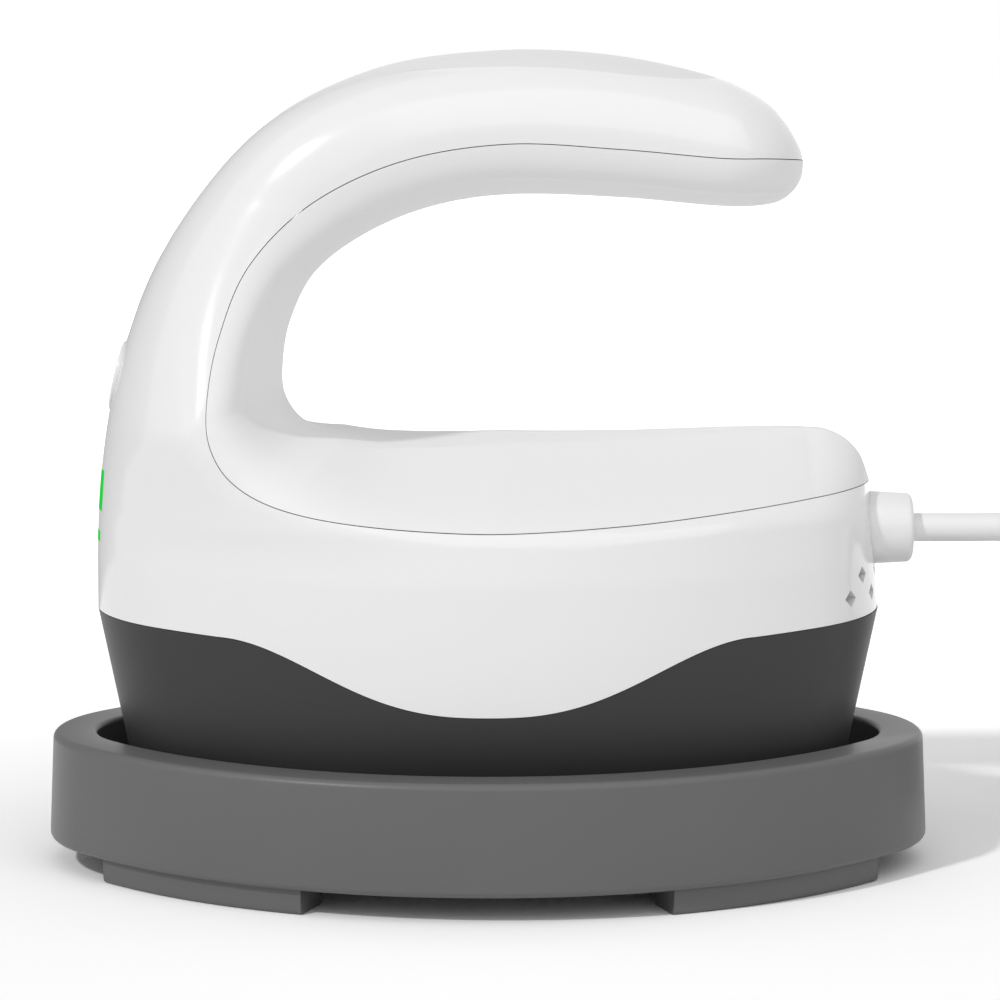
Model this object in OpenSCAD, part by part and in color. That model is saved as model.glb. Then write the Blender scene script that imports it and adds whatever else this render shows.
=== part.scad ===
// Mini handheld heat press with its safety tray: a C-shaped moulded handle on an
// oval heat plate, standing in a heat-proof tray, with a mains lead wound up beside it.
// Millimetres. Origin: centre of the tray on the surface it stands on. +X is the end
// where the lead leaves, +Z is up. The press is symmetrical about the plane y = 0.

/* [Tray] */
// Length of the tray over its rim
tray_len = 148; // [144:1:160]
// Width of the tray over its rim
tray_w = 97.4; // [94:1:108]
// Radius of the two ends of the tray outline
tray_end_r = 26; // [24:1:30]
// Height of the rim above the surface
tray_top_z = 21.5; // [20:0.5:24]
// Width of the rim, seen from above
rim_w = 8; // [6:0.5:8.5]
// Rounding of the rim's edges
rim_round = 2; // [1:0.25:2.5]
// Height of the underside of the tray above the surface
foot_h = 4.2; // [3:0.1:4.6]
// Thickness of the tray floor
tray_floor_t = 2.4; // [2:0.1:2.6]
// How far the feet stand back from the rim
foot_inset = 1.7; // [1.6:0.1:2.5]
// How far the plinth between the feet stands back from the rim
plinth_inset = 4; // [3:0.1:5]
// Diameter of the posts that the skirt rests on
post_d = 4; // [3:0.1:4.2]

/* [Press body] */
// Length of the moulded body
body_len = 130.8; // [126:0.2:134]
// Width of the moulded body
body_w = 78; // [72:0.5:82]
// Radius of the two ends of the body outline
body_end_r = 27; // [25:0.5:29]
// Height above the surface at which the white shell ends, at both ends of the body
shell_z = 41.4; // [40:0.2:44]
// Height of the white shell above that line
shell_h = 94.4; // [90:0.2:100]
// Depth of the dip in the lower edge of the shell at mid length
wave_depth = 11.3; // [6:0.1:12]
// Half length of that dip
wave_half = 43; // [36:0.5:46]
// Wall of both shells
shell_wall = 2.2; // [1.6:0.1:2.6]
// Gap left between mouldings along their seams
seam_gap = 0.2; // [0.1:0.05:0.3]

/* [Handle] */
// Width of the handle
handle_w = 31; // [28:0.5:34]
// Length over which the handle's tip closes, seen from above
tip_round = 14; // [11:0.5:16]
// Width of the satin panel let into the top of the handle
panel_w = 19; // [14:0.5:21]
// Thickness of that panel
panel_t = 1.1; // [0.8:0.1:1.3]

/* [Skirt] */
// Height of the lower edge of the skirt
skirt_z = 14; // [13.6:0.1:15]
// Length of the skirt at its lower edge
skirt_len = 118.8; // [116:0.2:120]
// Width of the skirt at its lower edge
skirt_w = 70; // [66:0.5:72]
// Radius of the ends of the skirt at its lower edge
skirt_end_r = 24; // [23:0.5:26]
// Wall of the skirt
skirt_wall = 2.5; // [2:0.1:2.8]
// Height of the top of the web inside the skirt
web_z = 26; // [25.6:0.1:27]
// Thickness of that web
web_t = 2; // [1.6:0.1:2.4]

/* [Heat plate] */
// Height of the working face of the plate
plate_z = 12; // [11.8:0.1:12.4]
// Thickness of the plate
plate_t = 4; // [3.4:0.1:4.4]
// Gap between the plate's edge and the skirt
plate_gap = 0.7; // [0.5:0.1:1]
// Distance between the plate's screws along the body
plate_screw_x = 78; // [70:1:80]
// Distance between the plate's screws across the body
plate_screw_y = 36; // [32:0.5:37]
// Diameter of the plate's screw bosses
plate_boss_d = 7; // [6:0.1:7.5]
// Length of the flat heating element
element_len = 66; // [56:1:68]
// Width of the flat heating element
element_w = 26; // [20:0.5:27]
// Thickness of the flat heating element
element_t = 1.6; // [1.2:0.1:1.8]
// Thickness of the steel sheet that clamps the element
clamp_t = 1; // [0.8:0.1:1.2]

/* [Boards] */
// Length of the power board
board_len = 64; // [56:1:66]
// Width of the power board
board_w = 34; // [30:0.5:36]
// Thickness of both boards
board_t = 1.6; // [1.2:0.1:1.6]
// Height of the posts under the power board
board_post_h = 6; // [5:0.1:8]

/* [Button] */
// Diameter of the power button
button_d = 11.6; // [9:0.2:12.4]
// Height of the button's centre above the surface
button_z = 82; // [80:0.2:84]
// How far the button stands out of the shell
button_proud = 1; // [0.7:0.1:1.2]
// Gap between the button and its hole
button_gap = 0.3; // [0.25:0.05:0.4]
// Travel of the button
button_travel = 0.4; // [0.3:0.05:0.5]

/* [Lights] */
// Height of the upper light window
light_h = 7; // [5:0.2:8]
// Width of both light windows
light_w = 8; // [5:0.2:9]
// Height of the lower light window
dot_h = 2; // [1.6:0.1:2.6]

/* [Vents] */
// Width of a diamond-shaped vent
vent_w = 3.2; // [2.4:0.1:3.6]
// Height of a diamond-shaped vent
vent_h = 2.9; // [2.2:0.1:3.2]
// Angle between vents, seen from above
vent_pitch = 19; // [17:0.5:21]

/* [Lead] */
// Diameter of the lead
cord_d = 4.8; // [4.4:0.1:5.2]
// Height at which the lead leaves the body
cord_z = 56.4; // [55:0.2:58]
// Diameter of the collar around the lead
collar_d = 12.2; // [11:0.1:13]
// How far the collar stands out of the body
collar_len = 6.6; // [5:0.1:9]
// Radius of the coil at the middle of its turns
coil_r = 27.1; // [26:0.1:28]
// Clear gap between neighbouring turns of the coil
coil_gap = 0.5; // [0.45:0.05:0.8]

/* [Hidden] */
$fn = 96;
tiny = 0.01;

// ---------------------------------------------------------------- plain arithmetic
function mix(a, b, t) = a + (b - a) * t;
function ease(t) = let (c = max(0, min(1, t))) c * c * (3 - 2 * c);
function unit(v) = v / max(norm(v), 1e-9);
// Rises from 0 to 1 over the length r; p and q set how round the rise is
function rise(d, r, p, q) = let (k = max(0, min(1, d / r))) pow(1 - pow(1 - k, p), 1 / q);
// Catmull-Rom curve through the rows of a table, at row number u
function through(rows, u) =
    let (
        last = len(rows) - 1,
        i = max(0, min(last - 1, floor(u))),
        f = u - i,
        a = rows[max(i - 1, 0)],
        b = rows[i],
        c = rows[i + 1],
        d = rows[min(i + 2, last)]
    )
    (2 * b + (c - a) * f + (2 * a - 5 * b + 4 * c - d) * f * f + (3 * b - a - 3 * c + d) * f * f * f) / 2;

// ---------------------------------------------------------------- four-arc ovals
// An oval is [half length, half width, end radius]; its sides are arcs of side_r
function oval(len, w, r) = [len / 2, w / 2, r];
function grown(o, n) = [o[0] + n, o[1] + n, o[2] + n];
function side_r(o) =
    let (c = o[0] - o[2]) (c * c + o[1] * o[1] - o[2] * o[2]) / (2 * (o[1] - o[2]));
function joint_angle(o) = atan2(side_r(o) - o[1], o[0] - o[2]);
// Half width of the oval at x
function oval_y(o, x) =
    let (end_x = o[0] - o[2], joint_x = end_x + o[2] * cos(joint_angle(o)), ax = min(abs(x), o[0]))
    ax > joint_x
        ? sqrt(max(0, o[2] * o[2] - pow(ax - end_x, 2)))
        : sqrt(pow(side_r(o), 2) - ax * ax) - side_r(o) + o[1];
// Point of the oval whose outward direction is the angle f
function oval_point(o, f) =
    let (t = joint_angle(o), a = abs(((f + 180) % 360 + 360) % 360 - 180), e = o[0] - o[2])
    a < t || a > 180 - t
        ? [sign(cos(f)) * e + o[2] * cos(f), o[2] * sin(f)]
        : [side_r(o) * cos(f), side_r(o) * sin(f) - sign(sin(f)) * (side_r(o) - o[1])];

tray_oval = oval(tray_len, tray_w, tray_end_r);
body_oval = oval(body_len, body_w, body_end_r);
skirt_oval = oval(skirt_len, skirt_w, skirt_end_r);
plate_oval = grown(skirt_oval, -skirt_wall - plate_gap);

module oval_2d(o) {
    joint_x = o[0] - o[2] + o[2] * cos(joint_angle(o));
    intersection() {
        translate([0, o[1] - side_r(o)]) circle(r = side_r(o));
        translate([0, side_r(o) - o[1]]) circle(r = side_r(o));
        square([2 * joint_x, 4 * o[1]], center = true);
    }
    for (s = [-1, 1]) translate([s * (o[0] - o[2]), 0]) circle(r = o[2]);
}
module oval_plate(o, z0, z1) {
    translate([0, 0, z0]) linear_extrude(z1 - z0) oval_2d(o);
}
// The same with flat sides, each step degrees of the oval wide
module oval_prism(o, z0, z1, step = 5) {
    translate([0, 0, z0]) linear_extrude(z1 - z0) polygon([for (f = [0:step:359]) oval_point(o, f)]);
}
// A profile of [distance outwards, height] points swept round the oval and closed by a flat
// at each of its ends: the first point is the lower flat's edge
module oval_bowl(o, profile, step) {
    n = len(profile);
    rows = 360 / step;
    g = [for (i = [0:rows])
        let (f = i == rows ? 0 : i * step, c = oval_point(o, f))
        [for (p = profile) [c[0] + p[0] * cos(f), c[1] + p[0] * sin(f), p[1]]]];
    polyhedron(
        points = flat(g),
        faces = concat(
            grid_faces(rows + 1, n, 0, false),
            [[for (i = [0:rows - 1]) i * n], [for (i = [rows - 1:-1:0]) i * n + n - 1]]
        ),
        convexity = 8
    );
}
// Quarter-round corner of a profile, centred at c, from angle a to angle b
function corner(c, r, a, b, steps = 6) =
    [for (i = [0:steps]) let (f = mix(a, b, i / steps)) c + r * [cos(f), sin(f)]];

// ---------------------------------------------------------------- closed skins
// A skin is a grid of points [row][column]. Its faces, numbered from n0
function grid_faces(rows, cols, n0, flip) = [
    for (i = [0:rows - 2], j = [0:cols - 2])
        let (a = n0 + i * cols + j, b = a + 1, c = b + cols, d = a + cols)
        each flip ? [[a, c, b], [a, d, c]] : [[a, b, c], [a, c, d]]
];
// The strip that joins column j of one skin to the same column of the skin n points on,
// from row first
function edge_faces(rows, cols, j, n, flip, n0 = 0, first = 0) = [
    for (i = [first:rows - 2])
        let (a = n0 + i * cols + j, b = a + cols, c = a + n, d = b + n)
        each flip ? [[a, b, d], [a, d, c]] : [[a, d, b], [a, c, d]]
];
function flat(g) = [for (row = g, p = row) p];
// Outward direction of a skin at each point, from its neighbours; on the mid-plane
// it stays in the mid-plane
function skin_normals(g) =
    let (n = len(g) - 1, m = len(g[0]) - 1)
    [for (i = [0:n]) [for (j = [0:m])
        let (
            i0 = i == 0 ? 1 : i == n ? n - 1 : i,
            along = g[min(i0 + 1, n)][j] - g[max(i0 - 1, 0)][j],
            across = g[i0][min(j + 1, m)] - g[i0][max(j - 1, 0)],
            c = cross(along, across)
        )
        unit(abs(g[i][j][1]) < tiny ? [c[0], 0, c[2]] : c)]];

// ---------------------------------------------------------------- the moulded body
// Side view of the body, in the mid-plane, from the handle's tip round to the lead end.
// Each row holds the middle of the inner face, the seam between the two shells and the
// outer face, as x and z of a body 130.8 long whose shell spans z = 41.4 to 135.8.
SIDE_VIEW = [
    [52.2, 117.4, 52.2, 117.4, 52.2, 117.4],
    [51.7, 114.3, 51.6, 117.9, 51.4, 120.2],
    [49.4, 111.6, 49.0, 118.2, 48.8, 124.4],
    [45.6, 110.3, 45.0, 118.4, 44.8, 128.0],
    [38.0, 110.2, 37.0, 118.6, 36.5, 131.7],
    [22.0, 111.6, 21.0, 120.0, 20.0, 135.1],
    [4.0, 112.1, 3.0, 120.8, 1.5, 135.8],
    [-9.0, 110.2, -14.0, 118.0, -19.0, 132.7],
    [-20.0, 105.8, -28.5, 111.2, -38.0, 122.7],
    [-28.5, 99.5, -38.5, 101.3, -53.0, 104.4],
    [-32.8, 91.5, -43.2, 90.0, -60.6, 86.6],
    [-34.2, 84.0, -44.9, 80.0, -64.1, 68.0],
    [-33.8, 78.6, -44.3, 73.0, -65.3, 51.0],
    [-30.5, 74.2, -40.6, 67.4, -65.4, 41.4],
    [-24.5, 72.0, -33.0, 63.6, -54.0, 41.4],
    [-14.5, 70.3, -20.0, 61.3, -33.0, 41.4],
    [2.0, 70.0, 0.0, 60.2, -4.0, 41.4],
    [22.0, 70.8, 22.0, 61.0, 22.0, 41.4],
    [40.0, 72.2, 40.0, 62.4, 40.0, 41.4],
    [53.0, 73.3, 53.0, 63.6, 53.0, 41.4],
    [58.4, 72.2, 59.4, 64.2, 60.0, 41.4],
    [61.9, 69.2, 62.4, 64.4, 63.8, 41.4],
    [63.8, 64.5, 63.8, 64.5, 65.4, 41.4]
];
LAST = len(SIDE_VIEW) - 1;
// Row where the outer face ends and the open lower edge begins
CORNER_ROW = 13;
kx = body_len / 130.8;
ky = body_w / 78;
kz = shell_h / 94.4;
function to_z(z) = shell_z + (z - 41.4) * kz;

// Section of the body along the side view, by row number: depth of the inner face's
// crown (negative is a trough), half width of the inner face, how the flank rises
function crown(u) = lookup(u, [[0, 0], [3, 2.2], [6, 3], [9, 4.6], [11.5, 5.4], [13, 2.6],
    [14, 0.2], [15, -1.2], [16, -1.8], [18, -0.9], [19, 0], [LAST, 0]]);
function face_half(u) = handle_w / 31 * lookup(u, [[0, 0], [1, 2.2], [2, 6], [3, 9], [4, 11], [6, 11.5],
    [8, 13], [10, 17], [11.5, 20], [13, 19.5], [14, 18], [15, 13.2], [16, 10.2], [17, 6.6], [18, 3.2],
    [19, 1.2], [21, 1.2], [LAST, 0]]);
function face_bend(u) = lookup(u, [[0, 1.6], [12, 1.7], [14, 1.1], [LAST, 1]]);
function flank_len(u) = lookup(u, [[0, 3], [2, 5], [4, 7], [9, 9], [12, 12], [14, 13], [LAST, 13.4]]);
function flank_p(u) = lookup(u, [[0, 2], [12, 2], [15, 1.6], [LAST, 1.6]]);
function flank_q(u) = lookup(u, [[0, 2], [11, 2], [15, 1.05], [19, 1.05], [21, 1.8], [LAST, 2]]);
// 1 where the body is handle, 0 where it is the lower body
function handle_part(u) = 1 - ease((u - 6.5) / 5);

// Ends of the lower body in the side view, at height z of the drawing
function front_x(z) = -65.4 + 16.5 * pow(max(0, z - 46) / 65.2, 2.6);
function lead_x(z) =
    z < 64.5 ? 65.4 - 1.6 * (z - 41.4) / 23.1
             : 53.6 + 10.2 * sqrt(max(0, 1 - pow((z - 64.5) / 9.2, 2)));
// Half width of the lower body at height z, as a share of body_w / 2
function width_share(z) = lookup(z, [[41, 1], [52, 0.995], [60, 0.965], [70, 0.87], [80, 0.755],
    [90, 0.645], [100, 0.55], [112, 0.45], [136, 0.4]]);
function plan_share(d) = oval_y(oval(130.8, 78, 27), 65.4 - min(d, 65.4)) / 39;
function lower_half(x, z) =
    let (
        front = x - front_x(z),
        back = lead_x(z) - x,
        round_len = lookup(z, [[50, 65.4], [62, 48], [75, 32], [90, 24], [110, 18]]),
        up = ease((z - 50) / 26)
    )
    body_w / 2 * width_share(z) * min(
        mix(plan_share(front), rise(front, round_len, 2, 2), up),
        plan_share(back)
    );
function handle_half(x, out_d, span) =
    handle_w / 2 * rise(out_d, min(14, 0.56 * span), 2, 2) * rise(52.2 - x, tip_round, 2, 2);
// Half width of the body at the drawing point p, out_d inside the outer face and in_d
// inside the inner face
function half_width(u, p, in_d, out_d, span) =
    let (
        h = handle_part(u),
        side = h > 0.999 ? handle_half(p[0], out_d, span)
             : h < 0.001 ? lower_half(p[0], p[1])
             : mix(lower_half(p[0], p[1]), handle_half(p[0], out_d, span), h),
        face = min(face_half(u), side)
    )
    mix(face, side, rise(in_d, flank_len(u), flank_p(u), flank_q(u)));

function wave_z(x) =
    let (k = min(1, abs(x) / (wave_half * kx))) shell_z - wave_depth * (1 + cos(180 * k)) / 2;
function placed(p, y) = [p[0] * kx, y, to_z(p[1])];

// Points across the inner shell at row u, from the middle to the seam
FACE_STEPS = 3;
FLANK_STEPS = 6;
function inner_section(u) =
    let (
        s = through(SIDE_VIEW, u),
        in_p = [s[0], s[1]],
        seam = [s[2], s[3]],
        out_p = [s[4], s[5]],
        dir = unit(seam - in_p),
        room = norm(seam - in_p),
        edge = in_p + dir * min(crown(u), 0.5 * room),
        reach = max(0, norm(seam - edge) - seam_gap / 2)
    )
    concat(
        [for (k = [0:FACE_STEPS - 1])
            let (f = k / FACE_STEPS, p = mix(in_p, edge, pow(f, face_bend(u))))
            placed(p, f * half_width(u, edge, 0, norm(out_p - seam) + reach, norm(out_p - in_p)))],
        [for (k = [0:FLANK_STEPS])
            let (d = reach * pow(k / FLANK_STEPS, 1.5), p = edge + dir * d)
            placed(p, half_width(u, p, d, norm(out_p - seam) + norm(seam - p), norm(out_p - in_p)))]
    );

// Points across the outer shell at row u, from the seam to the outer face or lower edge
OUTER_STEPS = 8;
function outer_end(u, out_p) =
    u <= CORNER_ROW
        ? [max(out_p[0], SIDE_VIEW[CORNER_ROW][4]), max(out_p[1], 41.4)]
        : [out_p[0], 41.4 + (wave_z(out_p[0] * kx) - shell_z) / kz];
function outer_section(u) =
    let (
        s = through(SIDE_VIEW, u),
        in_p = [s[0], s[1]],
        seam = [s[2], s[3]],
        out_p = outer_end(u, [s[4], u > CORNER_ROW ? 41.4 : s[5]]),
        dir = unit(out_p - seam),
        start = seam + dir * min(seam_gap / 2, norm(out_p - seam)),
        round_off = 1 - ease((u - CORNER_ROW) / 0.8)
    )
    [for (k = [0:OUTER_STEPS])
        let (
            f = k / OUTER_STEPS,
            t = mix(f, sin(90 * f), 0.9 * round_off),
            p = mix(start, out_p, t),
            closed = u == LAST || u <= CORNER_ROW && k == OUTER_STEPS
        )
        placed(p, closed ? 0 : half_width(u, p, norm(p - seam) + norm(seam - in_p) - crown(u),
            norm(out_p - p), norm(out_p - in_p)))];

// Row numbers of the sections: closer together where the body turns quickly
STATIONS = concat(
    [for (i = [0:7]) i * i / 16],
    [for (i = [0:4]) 3.6 + i * 0.6],
    [for (i = [0:12]) 6.5 + i * 0.5],
    [13, 13.06, 13.2, 13.4, 13.6, 13.8],
    [for (i = [0:14]) 14 + i / 3],
    [19, 19.4, 19.8, 20.2, 20.6, 21, 21.3, 21.6, 21.85, LAST]
);

function mirrored(p) = [p[0], -p[1], p[2]];
// A section from its near edge through the middle to its far edge
function both_sides(half) =
    concat([for (k = [len(half) - 1:-1:1]) mirrored(half[k])], half);
// The edges of the two shells stand square to the seam, in one direction for both, so that
// their walls meet face to face
SEAM_LINE = [for (u = STATIONS) outer_section(u)[0]];
function seam_normal(i) =
    let (
        k = max(1, min(len(STATIONS) - 2, i)),
        s = through(SIDE_VIEW, STATIONS[k]),
        way = [kx * (s[4] - s[0]), 0, kz * (s[5] - s[1])],
        n = cross(SEAM_LINE[k + 1] - SEAM_LINE[k - 1], way)
    )
    unit(abs(SEAM_LINE[i][1]) < tiny ? [n[0], 0, n[2]] : n);
// A skin moved inwards by t; its seam is the first column, or with both its two outer ones
function inset(g, t, both) =
    let (n = skin_normals(g), last = len(g[0]) - 1)
    [for (i = [0:len(g) - 1])
        let (seam = seam_normal(i))
        [for (j = [0:last])
            let (way = j == (both ? last : 0) ? seam : both && j == 0 ? mirrored(seam) : n[i][j])
            g[i][j] - t * norm(n[i][j]) * way]];

module two_skins(outside, inside) {
    rows = len(outside);
    cols = len(outside[0]);
    polyhedron(
        points = concat(flat(outside), flat(inside)),
        faces = concat(
            grid_faces(rows, cols, 0, false),
            grid_faces(rows, cols, rows * cols, true),
            edge_faces(rows, cols, 0, rows * cols, true),
            edge_faces(rows, cols, cols - 1, rows * cols, false)
        ),
        convexity = 10
    );
}

module inner_skin() {
    outside = [for (u = STATIONS) both_sides(inner_section(u))];
    two_skins(outside, inset(outside, shell_wall, true));
}

// The outer shell's two flanks meet in the mid-plane along the outer face and at the
// lead end; below them the edge is open
module outer_skin() {
    far = [for (u = STATIONS) outer_section(u)];
    near = [for (row = far) [for (p = row) mirrored(p)]];
    far_in = inset(far, shell_wall, false);
    near_in = [for (row = far_in) [for (p = row) mirrored(p)]];
    rows = len(far);
    cols = len(far[0]);
    n = rows * cols;
    open_from = search(CORNER_ROW, STATIONS)[0];
    polyhedron(
        points = concat(flat(far), flat(far_in), flat(near), flat(near_in)),
        faces = concat(
            grid_faces(rows, cols, 0, false),
            grid_faces(rows, cols, n, true),
            grid_faces(rows, cols, 2 * n, true),
            grid_faces(rows, cols, 3 * n, false),
            edge_faces(rows, cols, 0, n, true),
            edge_faces(rows, cols, 0, n, false, 2 * n),
            edge_faces(rows, cols, cols - 1, n, false, 0, open_from),
            edge_faces(rows, cols, cols - 1, n, true, 2 * n, open_from)
        ),
        convexity = 10
    );
}

// ---------------------------------------------------------------- places on the body
// The front end of the body: its face in the mid-plane is at front(z)
function front(z) = let (zd = 41.4 + (z - shell_z) / kz) kx * outer_x(zd);
OUTER_LINE = [for (i = [0:46]) let (s = through(SIDE_VIEW, 12.6 - i / 10)) [s[5], max(s[4], -65.4)]];
function outer_x(z) = lookup(z, OUTER_LINE);
// Runs what follows on the button's axis: x inwards from the face, z up along the wall
button_tilt = atan2(front(button_z + 8) - front(button_z - 8), 16);
module on_button_axis() {
    translate([front(button_z), 0, button_z]) rotate([0, button_tilt, 0]) children();
}
module rod_x(d, x0, x1) {
    translate([x0, 0, 0]) rotate([0, 90, 0]) cylinder(d = d, h = x1 - x0);
}
module rod_z(d, z0, z1) {
    translate([0, 0, z0]) cylinder(d = d, h = z1 - z0);
}
module box(x0, x1, w, z0, z1) {
    translate([x0, -w / 2, z0]) cube([x1 - x0, w, z1 - z0]);
}
module plate_corners() {
    for (x = [-1, 1], y = [-1, 1])
        translate([x * plate_screw_x / 2, y * plate_screw_y / 2, 0]) children();
}
module board_corners() {
    for (x = [-1, 1], y = [-1, 1])
        translate([x * (board_len / 2 - 4), y * (board_w / 2 - 4), 0]) children();
}
module casing_places() {
    for (p = CASING_SCREWS, y = [-1, 1]) translate([p[0] * kx, y * p[1] * ky, 0]) children();
}
// Cap-head screw pointing down from z = 0 with its head above
module screw(shank_d, length, head_d, head_h) {
    rod_z(head_d, 0, head_h);
    rod_z(shank_d, -length, 0);
}

web_under = web_z - web_t;
plate_top = plate_z + plate_t;
element_top = plate_top + element_t;
clamp_top = element_top + clamp_t;
pad_top = web_under - 0.4;
board_z = web_z + board_post_h;
board_top = board_z + board_t;
// Screws that hold the web to the inner shell: x, distance from the mid-plane and top of
// the boss, in the drawing's sizes
CASING_SCREWS = [[-18, 22, 67], [48, 14, 65.9]];
boss_d = 7;
bore_d = 2.6;
screw_d = 2.5;
small_screw_d = 2;
small_bore_d = 2.1;
head_h = 1.8;
head_d = 5;
hole_gap = 0.4;

// ---------------------------------------------------------------- safety tray
module safety_tray() {
    well = -rim_w;
    profile = concat(
        corner([0.5 - rim_round, foot_h + rim_round], rim_round, -90, 0, 4),
        corner([-rim_round, tray_top_z - rim_round], rim_round, 0, 90),
        corner([well + 1.2, tray_top_z - 1.2], 1.2, 90, 180, 4),
        [[well - 0.4, foot_h + tray_floor_t]]
    );
    color("dimgray") {
        oval_bowl(tray_oval, profile, 5);
        difference() {
            oval_prism(grown(tray_oval, -plinth_inset), 0.6, foot_h + 0.5);
            oval_prism(grown(tray_oval, -plinth_inset - 3), 0, foot_h);
        }
        intersection() {
            union() {
                foot_ring(foot_inset, foot_edge, foot_h + 0.5);
                foot_ring(foot_inset + foot_edge, 0, foot_edge);
            }
            for (s = [-1, 1])
                translate([s * (foot_from + foot_to) / 2, 0, foot_h / 2])
                    cube([foot_to - foot_from, tray_w, 2 * foot_h], center = true);
        }
        for (f = POST_ANGLES)
            translate(oval_point(grown(skirt_oval, -post_inset), f)) rod_z(post_d, foot_h + 1, skirt_z);
    }
}
post_inset = 0.6;
// A foot's two ends along the tray, and the step of its lower edge
foot_from = 30;
foot_to = 62;
foot_edge = 0.6;
module foot_ring(inset, z0, z1) {
    difference() {
        oval_prism(grown(tray_oval, -inset), z0, z1);
        oval_prism(grown(tray_oval, -foot_inset - 8), z0 - 1, z1 + 1);
    }
}
POST_ANGLES = [30, 90, 150, 210, 270, 330];

// ---------------------------------------------------------------- skirt
// Outward direction of the oval at x
function angle_at(o, x) =
    let (e = o[0] - o[2], ax = abs(x), end = ax > e + o[2] * cos(joint_angle(o)),
        a = end ? acos(min(1, (ax - e) / o[2])) : acos(ax / side_r(o)))
    x < 0 ? 180 - a : a;
wave_gap = 0.3;
lip_h = 3;
lip_gap = 0.35;
lip_t = 1.4;
// Hole in the web that the heater wires pass through
wire_x = -element_len / 2 - 16;
module skirt() {
    far = [for (u = STATIONS) if (u >= CORNER_ROW) outer_section(u)[OUTER_STEPS]];
    near = [for (i = [len(far) - 2:-1:1]) mirrored(far[i])];
    tops = concat(far, near, [far[0]]);
    ring = [for (p = tops)
        let (
            a = angle_at(body_oval, p[0]) * (p[1] < 0 ? -1 : 1),
            out = [cos(a), sin(a), 0],
            lip = -shell_wall - lip_gap,
            top = p - [0, 0, wave_gap],
            low = oval_point(skirt_oval, a)
        )
        [
            [low[0], low[1], skirt_z],
            top,
            top + lip * out,
            top + lip * out + [0, 0, wave_gap + lip_h],
            top + (lip - lip_t) * out + [0, 0, wave_gap + lip_h],
            top + (lip - lip_t) * out,
            [low[0] - skirt_wall * out[0], low[1] - skirt_wall * out[1], skirt_z],
            [low[0], low[1], skirt_z]
        ]];
    color("dimgray") difference() {
        union() {
            polyhedron(points = flat(ring), faces = grid_faces(len(ring), 8, 0, true), convexity = 8);
            oval_plate(grown(skirt_oval, 0.4), web_under, web_z);
            board_corners() rod_z(boss_d - 2, web_z - 1, board_z);
        }
        plate_corners() rod_z(3 + hole_gap, web_under - 1, web_z + 1);
        casing_places() rod_z(screw_d + hole_gap, web_under - 1, web_z + 1);
        board_corners() rod_z(small_bore_d, web_z + 1, board_z + 1);
        translate([wire_x, 0, 0]) rod_z(8, web_under - 1, web_z + 1);
    }
}

// ---------------------------------------------------------------- heat plate and what is on it
module heat_plate() {
    color("silver") difference() {
        union() {
            oval_plate(plate_oval, plate_z, plate_top);
            plate_corners() rod_z(plate_boss_d, plate_top - 1, web_under);
        }
        plate_corners() rod_z(3.1, plate_top - 1, web_under + 1);
    }
}
module heating_element() {
    color("tan") box(-element_len / 2, element_len / 2, element_w, plate_top, element_top);
}
module element_clamp() {
    color("lightsteelblue") difference() {
        intersection() {
            box(-element_len / 2 - 11, element_len / 2 + 11, plate_screw_y + 10, element_top, clamp_top);
            oval_plate(grown(plate_oval, -1), element_top, clamp_top);
        }
        plate_corners() rod_z(plate_boss_d + hole_gap, plate_top, clamp_top + 1);
    }
}
module insulation_pad() {
    color("whitesmoke") difference() {
        intersection() {
            box(-element_len / 2 - 12, element_len / 2 + 12, plate_screw_y + 12, clamp_top, pad_top);
            oval_plate(grown(plate_oval, -1), clamp_top, pad_top);
        }
        plate_corners() rod_z(plate_boss_d + hole_gap, clamp_top - 1, pad_top + 1);
        casing_places() rod_z(head_d + 2, clamp_top + 1, pad_top + 1);
        box(-11, 11, 7, clamp_top - 1, pad_top + 1);
        box(19, 25, 6, clamp_top - 1, pad_top + 1);
    }
}
module thermal_fuse() {
    color("silver") translate([0, 0, clamp_top + 2]) rod_x(4, -6, 6);
}
module thermistor() {
    color("peru") translate([22, 0, clamp_top]) rod_z(2.6, 0, 2);
}
module plate_screws() {
    color("gray") plate_corners() translate([0, 0, web_z])
        screw(3, web_z - plate_top - 1, head_d + 1, head_h);
}
module power_board() {
    color("darkgreen") difference() {
        box(-board_len / 2, board_len / 2, board_w, board_z, board_top);
        board_corners() rod_z(small_screw_d + hole_gap, board_z - 1, board_top + 1);
    }
}
module board_screws() {
    color("gray") {
        board_corners() translate([0, 0, board_top]) screw(small_screw_d, 6, head_d - 1, head_h);
        for (y = [-1, 1])
            on_button_axis() translate([panel_depth + board_t, y * mount_y, -mount_drop])
                rotate([0, 90, 0]) screw(small_screw_d, 6, head_d - 1, head_h);
    }
}
module relay() {
    color("black") box(-14, 4, 14, board_top, board_top + 12);
}
module capacitor() {
    color("navy") translate([13, 4, 0]) rod_z(10, board_top, board_top + 16);
}
module terminal_block() {
    color("green") translate([25.5, 0, 0]) difference() {
        box(-4.5, 4.5, 16, board_top, board_top + 10);
        for (y = [-4, 4]) translate([0, y, 0]) rod_z(3, board_top + 3, board_top + 11);
    }
}

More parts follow.
